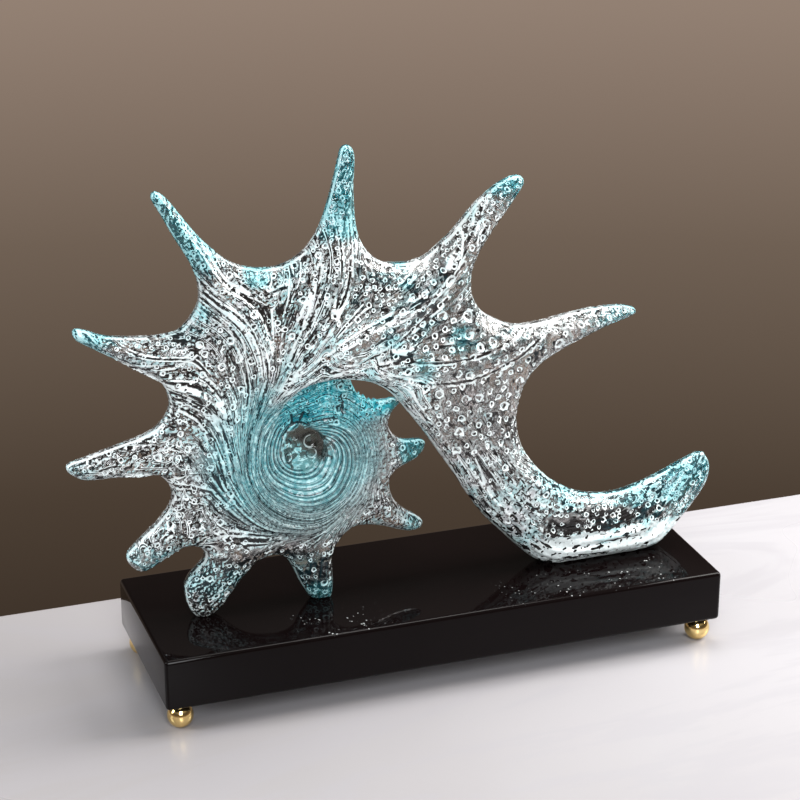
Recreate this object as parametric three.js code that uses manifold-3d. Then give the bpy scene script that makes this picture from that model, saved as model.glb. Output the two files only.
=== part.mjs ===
// A clear cast spiral with curved spikes, standing on a black block with four brass ball feet.
// Millimetres. +Z is up, X runs along the block, the front of the ornament faces -Y.
// The origin is under the middle of the whole object, on the surface that it stands on.
import * as THREE from 'three';
import { mergeVertices } from 'three/addons/utils/BufferGeometryUtils.js';
import Module from 'manifold-3d';

// ---------------------------------------------------------------- driving dimensions
const GAP = 0.3;              // clearance between pieces that touch
const BASE_LENGTH = 360;
const BASE_DEPTH = 118;
const BASE_HEIGHT = 33;
const BASE_BEVEL = 3;
const BASE_X = 12.4;          // the block's middle, measured from the middle of the whole object
const BALL_RADIUS = 8;
const BALL_FLAT_RADIUS = 3;   // small turned flat that the ball stands on
const BALL_COLLAR_RADIUS = 4;
const BALL_INSET = 10.5;      // ball centre from the block's edges
const UNDERSIDE = 2 * BALL_RADIUS;
const TOP = UNDERSIDE + BASE_HEIGHT;

const STUD_RADIUS = 2, STUD_BOTTOM = 7, STUD_TOP = 25;
const FOOT_INSERT_RADIUS = 3.2, FOOT_INSERT_LENGTH = 10;
const SCREW_RADIUS = 2.5, SCREW_HEAD_RADIUS = 4.5, SCREW_HEAD_HEIGHT = 3, SCREW_TOP = TOP + 11;
const WASHER_RADIUS = 5.5, WASHER_THICKNESS = 1;
const COUNTERBORE_RADIUS = 6.2, COUNTERBORE_DEPTH = 7;
const CAST_INSERT_RADIUS = 3.6, CAST_INSERT_LENGTH = 10;
const DOWEL_RADIUS = 1.5, DOWEL_BOTTOM = TOP - 12, DOWEL_TOP = TOP + 8;
const SCREW_SPOTS = [[104, -2], [146, -2]];
const DOWEL_SPOTS = [[-131, -6], [-52.5, -6]];

// Casting: the disc with the funnel, and the arm that starts at the foot and sweeps over the disc.
const EYE = { x: -61.2, z: 144.9, a: 11.0, b: 13.2 };   // eye at the bottom of the funnel, half axes
const EYE_MID_Y = 6, CREST_MID_Y = -8, COIL_SET_BACK = 3;
const WINDOW_HALF = 2, WINDOW_LAP = 2;   // thin clear window that closes the eye: half thickness, lap into the rim
const DISC_RINGS = [0, 0.05, 0.16, 0.32, 0.5, 0.68, 0.84, 0.94, 1];
const ARM_RINGS = [0, 0.05, 0.18, 0.38, 0.6, 0.8, 0.93, 1];
const EDGE_ROUND = 12;        // distance from the outline over which the edge rounds off
// distance from the eye to the bottoms of the bays between spikes: [turn angle in degrees, mm]
const BAY_RADIUS = [[90, 108], [107, 109], [126, 112], [166, 88], [201, 88], [224, 90], [251, 71], [297, 57], [330, 56], [371, 48], [397, 43], [450, 43]];

// Disc outline, anticlockwise seen from the front: [x, y of the mid surface, z].
// It runs over spikes 5 to 13 and the coil's small last spikes behind the arm.
const DISC_OUTLINE = [
  [-61.1, -3, 272.7], [-69.4, -3, 266.9], [-79.2, -3, 264.2], [-90.5, -3, 265.2], [-100.1, -3, 267.7], [-109.5, -3, 272.8],
  [-117, -2, 279.8], [-125.9, -1, 289.4], [-140.6, 0, 309.7], [-145.8, 0, 314.9], [-149.5, 0, 316.1], [-151.2, 0, 312.4],
  [-145.6, 0, 301.5], [-138.6, -1, 287.5], [-131.4, -2, 275], [-127.3, -3, 263.5], [-126, -3, 255.2], [-127.4, -3, 245.5],
  [-136, -2, 233.9], [-142.2, -1, 231], [-154.7, 0, 230], [-179.8, 0, 233.1], [-191.9, 0, 238], [-197.6, 0, 239.6],
  [-199.9, 0, 238.2], [-199.3, 0, 234.4], [-194, 0, 229.6], [-172.9, -1, 217.4], [-162.3, -2, 211.5], [-153.8, -2, 205.4],
  [-148.7, -3, 199.2], [-146.1, -3, 191.3], [-146, -3, 186.2], [-148.7, -3, 179.9], [-154.3, -2, 173.4], [-162.2, -1, 169],
  [-175.2, -1, 165.7], [-196, 0, 159.8], [-204.8, 0, 157.8], [-208.2, 0, 155.1], [-206.1, 0, 150.7], [-199.8, 0, 146.3],
  [-193.6, 0, 145], [-182.4, 0, 145], [-171.2, -1, 146.7], [-161.8, -2, 146.8], [-153.9, -2, 143.4], [-148.7, -3, 137.9],
  [-146.3, -3, 130], [-148.6, -3, 122.4], [-154.9, -2, 113.7], [-162.2, -2, 107.3], [-169.4, -2, 100.9], [-174.6, -2, 95.5],
  [-175.2, -2, 90.9], [-171.8, -2, 85.4], [-166.4, -2, 82.1], [-159.6, -2, 83.9], [-153.6, -2, 88.8], [-147.4, -3, 93],
  [-141.3, -4, 95.4], [-134.9, -4, 95.3], [-130.3, -4, 93.1], [-128.3, -5, 89.9], [-129.5, -5, 85.1], [-134.1, -5, 80.7],
  [-139, -5, 75.4], [-141.7, -6, 69.4], [-140.8, -6, 59.9], [-137.7, -6, 52.4], [-133.1, -6, 47.4], [-127, -6, 48],
  [-120.3, -6, 52.3], [-114.3, -6, 59.8], [-109.1, -5, 67.2], [-102.4, -5, 75], [-94, -4, 80.2], [-85.9, -4, 81.8],
  [-79.5, -4, 79.9], [-75, -5, 74.5], [-70.3, -5, 63.3], [-65.8, -6, 54.6], [-61.3, -6, 48.9], [-55, -6, 47.4],
  [-49.8, -6, 47.4], [-48.1, -6, 57.5], [-48.3, -5, 66.7], [-48, -4, 74.9], [-44.6, -3, 82.6], [-39.4, -2, 88.2],
  [-33.4, -1, 91.1], [-23.9, 0, 90.4], [-13.6, 1, 87.5], [-3.3, 2, 83.1], [4.8, 2, 80.7], [11.8, 2, 81.9],
  [13.4, 2, 86.3], [8.5, 2, 91.4], [1.8, 2, 95.9], [-4.9, 2, 102.8], [-8.2, 2, 111], [-7.8, 3, 118.3],
  [-4.5, 3, 122.9], [2.5, 4, 125.6], [9.8, 4, 128.8], [14.6, 4, 133.8], [15.6, 4, 138.5], [12, 4, 141],
  [5.2, 5, 141.4], [-0.4, 5, 142.6], [-5.3, 5, 146.6], [-7.6, 6, 151.4], [-7.1, 6, 157], [-3.9, 7, 161.6],
  [-0.3, 7, 165], [-0.6, 7, 167.6], [-4.8, 7, 169.4], [-10, 8, 168.6], [-15.7, 8, 168.6], [-20.9, 8, 170],
  [-25.3, 8, 173.2], [-28.5, 9, 177.5], [-30.3, 9, 183], [-32.8, 9, 189.1], [-36, 9, 193.1], [-39.1, 9, 192.5],
  [-41.7, 10, 188.6], [-45.2, 10, 186.5], [-48.9, 9, 189.3], [-51.4, 8, 195.1], [-53.1, 7, 202.7], [-55.4, 5, 216.5],
  [-57.1, 3, 230], [-58.4, 1, 245.2], [-59.7, -1, 260.9],
];
// Arm stations, from the tail's tip round to where the arm dies into the disc:
// outer edge [x, y, z] with spikes 1 to 4, then inner edge [x, y, z].
const ARM_STATIONS = [
  [203.9, -2, 107, 207.2, -2, 101.4], [200.3, -2, 107.8, 208.2, -2, 96.3], [194.8, -2, 106.1, 207.2, -2, 90.1],
  [185.6, -2, 102.4, 203.3, -2, 82.4], [176.3, -2, 98.1, 195.1, -2, 72.2], [165.5, -2, 94, 183.9, -3, 60.7],
  [152.7, -3, 90.8, 171.5, -4, 50.2], [140.3, -3, 89, 155.3, -5, 47.4], [129, -4, 90.2, 135.4, -5, 47.4],
  [118.1, -4, 92.8, 115.9, -5, 47.4], [108.8, -4, 96.8, 100.2, -5, 47.4], [99.5, -4, 102.8, 86.8, -5, 51.8],
  [90.2, -4, 111.1, 75.6, -5, 61.3], [82.5, -4, 120.6, 63.1, -5, 74.3], [76.2, -4, 131.3, 49.9, -6, 89.1],
  [73.1, -4, 142.2, 37.9, -7, 106.9], [72.5, -4, 152.7, 28.4, -8, 122.8], [73.8, -4, 161.5, 19.1, -9, 136.8],
  [76.9, -4, 170.7, 10.4, -11, 150.2], [82.1, -4, 178.8, 3.9, -12, 159.5], [90.7, -3, 185, -1.6, -13, 166.9],
  [101, -2, 189.7, -6.1, -14, 172.8], [113.2, -1, 194.4, -10, -15, 177.7], [133.4, 0, 201.6, -13.2, -16, 181.7],
  [148.4, 0, 205.7, -16, -17, 184.4], [153, 0, 208.3, -17.8, -17, 185.9], [150.8, 0, 211.6, -19.1, -17, 186.8],
  [143.7, 0, 214, -20.4, -17, 187.7], [133, 0, 214.6, -21.9, -18, 188.9], [118.8, -1, 214.6, -23.2, -18, 189.7],
  [104.8, -2, 213.3, -24.5, -18, 190.3], [91, -3, 211.3, -25.7, -18, 191], [77.1, -4, 210.8, -27.3, -19, 192],
  [67.1, -4, 212.3, -28.5, -19, 192.4], [57, -4, 217.1, -29.8, -19, 192.8], [48.6, -4, 223, -31, -19, 193.2],
  [43.7, -4, 230.2, -32.1, -19, 193.6], [41.6, -4, 237.7, -33.5, -20, 194.2], [42.2, -3, 247, -34.5, -20, 194.4],
  [44.9, -2, 254.4, -35.4, -20, 194.6], [49.3, -1, 261.7, -36.3, -20, 194.8], [57.7, 0, 273.3, -37.2, -20, 195],
  [65.7, 0, 283.7, -38, -20, 195.2], [72.8, 0, 293.5, -38.8, -20, 195.3], [76, 0, 298.4, -39.6, -20, 195.5],
  [75.4, 0, 302.3, -40.3, -20, 195.6], [71.8, 0, 304.4, -41.1, -20, 195.8], [66.3, 0, 303.5, -41.8, -20, 195.9],
  [58, 0, 299.6, -42.5, -20, 196], [44.4, 0, 289, -43.3, -20, 196.1], [29.6, -1, 273.5, -44.2, -20, 196.2],
  [22.9, -2, 268.2, -45, -20, 196.3], [14.5, -3, 262.2, -45.9, -20, 196.4], [6.1, -4, 259.7, -47, -20, 196.6],
  [-1.9, -4, 259.1, -48.1, -20, 196.7], [-9.9, -4, 259.9, -49.2, -20, 196.7], [-16.3, -4, 261.9, -50.5, -20, 196.7],
  [-22.2, -3, 267, -51.7, -20, 196.7], [-26.9, -3, 273.8, -52.6, -19, 196.2], [-29.4, -2, 281.5, -53.9, -19, 196.1],
  [-30.5, -1, 292.3, -55.1, -19, 196.1], [-30.7, 0, 308.2, -56.3, -19, 196], [-29.9, 0, 322.8, -57.4, -19, 195.9],
  [-30.8, 0, 329.6, -58.4, -19, 195.8], [-34.4, 0, 333, -59.2, -18, 195.2], [-38.3, 0, 331.1, -60.3, -18, 195],
  [-40, 0, 325.3, -61.5, -18, 194.8], [-44.8, -1, 307.6, -62.9, -18, 194.5], [-50.7, -2, 290.2, -64.5, -17, 193.6],
  [-55, -3, 282.4, -66.7, -17, 193], [-61.1, -3, 274, -68.8, -16, 191.6], [-69.4, -3, 268.1, -71, -15, 189.7],
  [-79.2, -3, 265, -73.2, -14, 187.6], [-90.5, -3, 265, -75.7, -13, 184.8], [-99.6, -3, 265.1, -78, -11, 180.9],
  [-107.6, -4, 264.2, -80.2, -9, 176.4], [-113.5, -5, 258.5, -82.3, -7, 171.5], [-118.2, -6, 248.4, -84.2, -5, 165.8],
  [-119.8, -6, 234.5, -85.9, -3.5, 159.6], [-119.1, -6, 217.6, -87.2, -2.5, 152.9], [-116.7, -6, 198.6, -88.1, -2, 146.3],
  [-112.4, -6, 179, -88.2, -2, 139.8], [-105.9, -5, 159.8, -87.1, -2, 133.8], [-98.1, -4, 142.7, -85.7, -2, 129],
  [-89.4, -3, 129.3, -84.5, -2, 125.8],
];
// ---------------------------------------------------------------- helpers
const wasm = await Module();
wasm.setup();

function toManifold(geometry) {
  let g = geometry.clone();
  g.deleteAttribute('normal');
  g.deleteAttribute('uv');
  g = mergeVertices(g, 1e-4);
  return new wasm.Manifold(new wasm.Mesh({
    numProp: 3,
    vertProperties: new Float32Array(g.attributes.position.array),
    triVerts: new Uint32Array(g.index.array),
  }));
}

function toGeometry(solid) {
  const m = solid.getMesh();
  const g = new THREE.BufferGeometry();
  g.setAttribute('position', new THREE.BufferAttribute(new Float32Array(m.vertProperties), 3));
  g.setIndex(new THREE.BufferAttribute(new Uint32Array(m.triVerts), 1));
  g.computeVertexNormals();
  return g;
}

// round bar along Z from z0 to z1
function bar(radius, z0, z1, x = 0, y = 0, sides = 20) {
  const g = new THREE.CylinderGeometry(radius, radius, z1 - z0, sides);
  g.rotateX(Math.PI / 2);
  g.translate(x, y, (z0 + z1) / 2);
  return g;
}

// turned piece from [radius, z] points
function turned(points, sides = 24) {
  const g = new THREE.LatheGeometry(points.map(([r, z]) => new THREE.Vector2(r, z)), sides);
  g.rotateX(Math.PI / 2);
  return g;
}

function smooth(a, b, t) {
  const s = Math.min(1, Math.max(0, (t - a) / (b - a)));
  return s * s * (3 - 2 * s);
}

function table(rows, t) {
  if (t <= rows[0][0]) return rows[0][1];
  for (let i = 1; i < rows.length; i++) {
    if (t <= rows[i][0]) {
      const s = (t - rows[i - 1][0]) / (rows[i][0] - rows[i - 1][0]);
      return rows[i - 1][1] + s * (rows[i][1] - rows[i - 1][1]);
    }
  }
  return rows[rows.length - 1][1];
}

function edgeDistance(x, z, loop) {
  let best = Infinity;
  for (let i = 0; i < loop.length; i++) {
    const [ax, az] = loop[i], [bx, bz] = loop[(i + 1) % loop.length];
    const dx = bx - ax, dz = bz - az;
    const t = Math.min(1, Math.max(0, ((x - ax) * dx + (z - az) * dz) / (dx * dx + dz * dz + 1e-12)));
    best = Math.min(best, Math.hypot(x - ax - t * dx, z - az - t * dz));
  }
  return best;
}

// a rounded shell edge: half thickness grows from nothing at the outline
const rounded = (half, d, reach) => {
  const s = 1 - Math.min(1, d / reach);
  return half * Math.sqrt(Math.max(0, 1 - s * s));
};

// closed solid from a grid of {x, z, mid, half}; rows are stations, columns go from inner to outer
function gridSolid(grid, loopClosed) {
  const K = grid.length, M = grid[0].length;
  const pos = [], front = [], back = [], idx = [];
  for (let k = 0; k < K; k++) {
    front.push([]); back.push([]);
    for (let m = 0; m < M; m++) {
      const { x, z, mid, half } = grid[k][m];
      const rim = m === 0 || m === M - 1 || (!loopClosed && (k === 0 || k === K - 1));
      front[k].push(pos.length / 3);
      pos.push(x, rim ? mid : mid - half, z);
      if (rim) back[k].push(front[k][m]);
      else { back[k].push(pos.length / 3); pos.push(x, mid + half, z); }
    }
  }
  const last = loopClosed ? K : K - 1;
  for (let k = 0; k < last; k++) {
    const n = (k + 1) % K;
    for (let m = 0; m < M - 1; m++) {
      const tri = (a, b, c) => { if (a !== b && b !== c && a !== c) idx.push(a, b, c); };
      tri(front[k][m], front[k][m + 1], front[n][m + 1]);
      tri(front[k][m], front[n][m + 1], front[n][m]);
      tri(back[k][m], back[n][m + 1], back[k][m + 1]);
      tri(back[k][m], back[n][m], back[n][m + 1]);
    }
  }
  const g = new THREE.BufferGeometry();
  g.setAttribute('position', new THREE.BufferAttribute(new Float32Array(pos), 3));
  g.setIndex(idx);
  return g;
}

// ---------------------------------------------------------------- the casting
function discSolid() {
  const K = DISC_OUTLINE.length;
  const loop = DISC_OUTLINE.map(([x, , z]) => [x, z]);
  // turn angle of each outline point round the eye, always growing
  const turn = [];
  for (let k = 0; k < K; k++) {
    let t = Math.atan2(loop[k][1] - EYE.z, loop[k][0] - EYE.x);
    if (k) while (t < turn[k - 1] - 0.3) t += 2 * Math.PI;
    turn.push(t);
  }
  const start = turn[0];
  const even = turn.map((t, k) => {
    let sum = 0;
    for (let j = -3; j <= 3; j++) {
      const i = k + j;
      sum += i < 0 ? turn[i + K] - 2 * Math.PI : i >= K ? turn[i - K] + 2 * Math.PI : turn[i];
    }
    return sum / 7;
  });
  const grid = [];
  for (let k = 0; k < K; k++) {
    const [ox, oy, oz] = DISC_OUTLINE[k];
    const ex = EYE.x + EYE.a * Math.cos(even[k]), ez = EYE.z + EYE.b * Math.sin(even[k]);
    const row = [];
    for (const w of DISC_RINGS) {
      const x = ex + (ox - ex) * w, z = ez + (oz - ez) * w;
      const deg = (turn[k] - start) * 180 / Math.PI + 90;
      const r = Math.hypot(x - EYE.x, z - EYE.z);
      const bay = table(BAY_RADIUS, deg);
      const u = r / bay;
      const coil = smooth(260, 400, deg);
      const crest = smooth(0.12, 0.62, u);
      let mid = EYE_MID_Y + (CREST_MID_Y + (COIL_SET_BACK - CREST_MID_Y) * coil - EYE_MID_Y) * crest;
      mid += (oy - mid) * smooth(0.3, 1, w) ;
      const full = (5 + 7 * smooth(0.12, 0.62, u) - 5 * smooth(0.75, 1.75, u)) * (1 - 0.3 * coil);
      const eyeEdge = Math.hypot(x - ex, z - ez);
      const d = edgeDistance(x, z, loop);
      row.push({ x, z, mid, half: Math.min(rounded(full, d, EDGE_ROUND), rounded(full, eyeEdge, 7)) });
    }
    grid.push(row);
  }
  return gridSolid(grid, true);
}

function armSolid() {
  const K = ARM_STATIONS.length;
  const loop = ARM_STATIONS.map(s => [s[0], s[2]]).concat(ARM_STATIONS.map(s => [s[3], s[5]]).reverse());
  const innerHalf = [[0, 6], [5, 12], [10, 14], [16, 11], [24, 9], [40, 8.5], [60, 8.5], [72, 7], [84, 5]];
  const outerHalf = [[0, 6], [5, 9], [8, 10], [17, 10], [25, 6.5], [33, 10], [44, 6.5], [54, 10], [64, 6.5], [71, 10], [84, 6]];
  const grid = ARM_STATIONS.map(([ox, oy, oz, ix, iy, iz], k) => ARM_RINGS.map(w => {
    const x = ix + (ox - ix) * w, z = iz + (oz - iz) * w;
    const mid = oy + (iy - oy) * Math.pow(1 - w, 1.5);
    const a = table(innerHalf, k), b = table(outerHalf, k);
    const full = a + (b - a) * w + 3 * 4 * w * (1 - w) * smooth(0, 10, k) * (1 - smooth(70, 84, k));
    return { x, z, mid, half: rounded(full, edgeDistance(x, z, loop), EDGE_ROUND) };
  }));
  return gridSolid(grid, false);
}

// the bottom of the funnel: a thin window, thicker at its rim, turned about the Y axis
function eyeWindow() {
  const g = new THREE.LatheGeometry([[0, -WINDOW_HALF], [0.6, -WINDOW_HALF], [1, -WINDOW_HALF * 1.4],
    [1, WINDOW_HALF * 1.4], [0.6, WINDOW_HALF], [0, WINDOW_HALF]].map(([r, y]) => new THREE.Vector2(r, y)), 28);
  g.scale(EYE.a + WINDOW_LAP, 1, EYE.b + WINDOW_LAP);
  g.translate(EYE.x, EYE_MID_Y, EYE.z);
  return g;
}

function castingGeometry() {
  let solid = toManifold(discSolid()).add(toManifold(armSolid())).add(toManifold(eyeWindow()));
  // level pads where the foot and the two lower spikes stand
  const below = new THREE.BoxGeometry(500, 200, 40);
  below.translate(0, 0, TOP + GAP - 20);
  solid = solid.subtract(toManifold(below));
  for (const [x, y] of SCREW_SPOTS) {
    solid = solid.subtract(toManifold(bar(CAST_INSERT_RADIUS + GAP, TOP - 5, TOP + GAP + CAST_INSERT_LENGTH + 2, x, y, 16)));
  }
  for (const [x, y] of DOWEL_SPOTS) {
    solid = solid.subtract(toManifold(bar(DOWEL_RADIUS + GAP, TOP - 5, DOWEL_TOP + 1, x, y, 12)));
  }
  return toGeometry(solid);
}

// ---------------------------------------------------------------- the block
const footSpots = {
  front_left: [BASE_X - BASE_LENGTH / 2 + BALL_INSET, -BASE_DEPTH / 2 + BALL_INSET],
  front_right: [BASE_X + BASE_LENGTH / 2 - BALL_INSET, -BASE_DEPTH / 2 + BALL_INSET],
  back_left: [BASE_X - BASE_LENGTH / 2 + BALL_INSET, BASE_DEPTH / 2 - BALL_INSET],
  back_right: [BASE_X + BASE_LENGTH / 2 - BALL_INSET, BASE_DEPTH / 2 - BALL_INSET],
};

function baseGeometry() {
  const hx = BASE_LENGTH / 2 - BASE_BEVEL, hy = BASE_DEPTH / 2 - BASE_BEVEL, r = 1.5;
  const s = new THREE.Shape();
  s.moveTo(-hx + r, -hy); s.lineTo(hx - r, -hy); s.quadraticCurveTo(hx, -hy, hx, -hy + r);
  s.lineTo(hx, hy - r); s.quadraticCurveTo(hx, hy, hx - r, hy);
  s.lineTo(-hx + r, hy); s.quadraticCurveTo(-hx, hy, -hx, hy - r);
  s.lineTo(-hx, -hy + r); s.quadraticCurveTo(-hx, -hy, -hx + r, -hy);
  const g = new THREE.ExtrudeGeometry(s, {
    depth: BASE_HEIGHT - 2 * BASE_BEVEL, curveSegments: 3, bevelEnabled: true,
    bevelThickness: BASE_BEVEL, bevelSize: BASE_BEVEL, bevelSegments: 3,
  });
  g.translate(BASE_X, 0, UNDERSIDE + BASE_BEVEL);
  let solid = toManifold(g);
  for (const [x, y] of Object.values(footSpots)) {
    solid = solid.subtract(toManifold(bar(FOOT_INSERT_RADIUS + GAP, UNDERSIDE - 3, UNDERSIDE + FOOT_INSERT_LENGTH + 1, x, y, 16)));
  }
  for (const [x, y] of SCREW_SPOTS) {
    solid = solid.subtract(toManifold(bar(COUNTERBORE_RADIUS, UNDERSIDE - 3, UNDERSIDE + COUNTERBORE_DEPTH, x, y, 20)));
    solid = solid.subtract(toManifold(bar(SCREW_RADIUS + GAP, UNDERSIDE + 2, TOP + 3, x, y, 16)));
  }
  for (const [x, y] of DOWEL_SPOTS) {
    solid = solid.subtract(toManifold(bar(DOWEL_RADIUS + GAP, DOWEL_BOTTOM - 1, TOP + 3, x, y, 12)));
  }
  return toGeometry(solid);
}

function ballGeometry() {
  const flatZ = BALL_RADIUS - Math.sqrt(BALL_RADIUS ** 2 - BALL_FLAT_RADIUS ** 2);
  const lift = -flatZ;        // the flat is at z = 0 and the collar reaches the block
  const pts = [[0, 0]];
  const a0 = -Math.acos(BALL_FLAT_RADIUS / BALL_RADIUS), a1 = Math.acos(BALL_COLLAR_RADIUS / BALL_RADIUS);
  for (let i = 0; i <= 8; i++) {
    const a = a0 + (a1 - a0) * i / 8;
    pts.push([BALL_RADIUS * Math.cos(a), BALL_RADIUS + lift + BALL_RADIUS * Math.sin(a)]);
  }
  pts.push([BALL_COLLAR_RADIUS, UNDERSIDE - GAP]);
  pts.push([STUD_RADIUS + GAP, UNDERSIDE - GAP]);
  pts.push([STUD_RADIUS + GAP, STUD_BOTTOM - GAP]);
  pts.push([0, STUD_BOTTOM - GAP]);
  return turned(pts, 18);
}

const tube = (rOut, rIn, z0, z1, sides = 12) => turned([[rIn, z0], [rOut, z0], [rOut, z1], [rIn, z1], [rIn, z0]], sides);

// ---------------------------------------------------------------- materials
const mat = (color, roughness, metalness, extra = {}) => new THREE.MeshStandardMaterial({ color, roughness, metalness, ...extra });
const clearCasting = mat(0xbfd6d8, 0.12, 0.0, { transparent: true, opacity: 0.75 });
const blackGloss = mat(0x0b0a0d, 0.06, 0.0);
const polishedBrass = mat(0xd9a441, 0.14, 1.0);
const insertBrass = mat(0xb98a3c, 0.35, 1.0);
const steel = mat(0x9a9da0, 0.35, 1.0);

// ---------------------------------------------------------------- assembly
const ornament = new THREE.Group();
function add(name, geometry, material, x = 0, y = 0, z = 0) {
  const mesh = new THREE.Mesh(geometry, material.clone());
  mesh.name = name;
  mesh.position.set(x, y, z);
  ornament.add(mesh);
}

add('spiral_casting', castingGeometry(), clearCasting);
add('base_block', baseGeometry(), blackGloss);
for (const [where, [x, y]] of Object.entries(footSpots)) {
  add(`ball_foot_${where}`, ballGeometry(), polishedBrass, x, y, 0);
  add(`foot_stud_${where}`, bar(STUD_RADIUS, STUD_BOTTOM, STUD_TOP, 0, 0, 12), steel, x, y, 0);
  add(`foot_insert_${where}`, tube(FOOT_INSERT_RADIUS, STUD_RADIUS + GAP, UNDERSIDE, UNDERSIDE + FOOT_INSERT_LENGTH), insertBrass, x, y, 0);
}
SCREW_SPOTS.forEach(([x, y], i) => {
  const side = i ? 'right' : 'left';
  const seat = UNDERSIDE + COUNTERBORE_DEPTH;
  const headTop = seat - 2 * GAP - WASHER_THICKNESS;
  add(`screw_washer_${side}`, tube(WASHER_RADIUS, SCREW_RADIUS + GAP, seat - GAP - WASHER_THICKNESS, seat - GAP), steel, x, y, 0);
  add(`casting_screw_${side}`, turned([[0, headTop - SCREW_HEAD_HEIGHT], [SCREW_HEAD_RADIUS - 1, headTop - SCREW_HEAD_HEIGHT],
    [SCREW_HEAD_RADIUS, headTop - SCREW_HEAD_HEIGHT + 1], [SCREW_HEAD_RADIUS, headTop], [SCREW_RADIUS, headTop],
    [SCREW_RADIUS, SCREW_TOP - 0.8], [SCREW_RADIUS - 0.8, SCREW_TOP], [0, SCREW_TOP]], 16), steel, x, y, 0);
  add(`casting_insert_${side}`, tube(CAST_INSERT_RADIUS, SCREW_RADIUS + GAP, TOP + 2 * GAP, TOP + 2 * GAP + CAST_INSERT_LENGTH), insertBrass, x, y, 0);
});
DOWEL_SPOTS.forEach(([x, y], i) => {
  add(`dowel_pin_${i ? 'right' : 'left'}`, bar(DOWEL_RADIUS, DOWEL_BOTTOM, DOWEL_TOP, 0, 0, 12), steel, x, y, 0);
});

export default ornament;
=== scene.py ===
import math

import bpy
import numpy as np
from mathutils import Vector, Matrix
from mathutils.kdtree import KDTree


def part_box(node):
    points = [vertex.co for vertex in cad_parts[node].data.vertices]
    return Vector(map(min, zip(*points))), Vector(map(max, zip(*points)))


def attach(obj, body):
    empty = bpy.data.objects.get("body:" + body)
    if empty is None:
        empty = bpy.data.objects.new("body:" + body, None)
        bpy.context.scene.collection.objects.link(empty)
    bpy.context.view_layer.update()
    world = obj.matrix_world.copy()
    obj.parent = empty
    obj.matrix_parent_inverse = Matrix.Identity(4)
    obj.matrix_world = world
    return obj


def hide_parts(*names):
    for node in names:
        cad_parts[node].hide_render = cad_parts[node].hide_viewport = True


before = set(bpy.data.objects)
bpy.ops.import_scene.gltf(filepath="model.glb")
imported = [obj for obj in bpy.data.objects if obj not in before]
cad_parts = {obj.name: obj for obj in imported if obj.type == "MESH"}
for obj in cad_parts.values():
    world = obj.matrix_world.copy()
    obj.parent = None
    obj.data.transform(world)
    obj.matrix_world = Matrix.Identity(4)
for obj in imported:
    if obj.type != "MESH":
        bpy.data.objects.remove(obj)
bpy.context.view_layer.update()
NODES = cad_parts

MM = 0.001
TOP = 49.0                      # top of the block, mm
BASE_X = 12.4
EYE_X, EYE_Z, EYE_A, EYE_B = -61.2, 144.9, 11.0, 13.2

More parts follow.
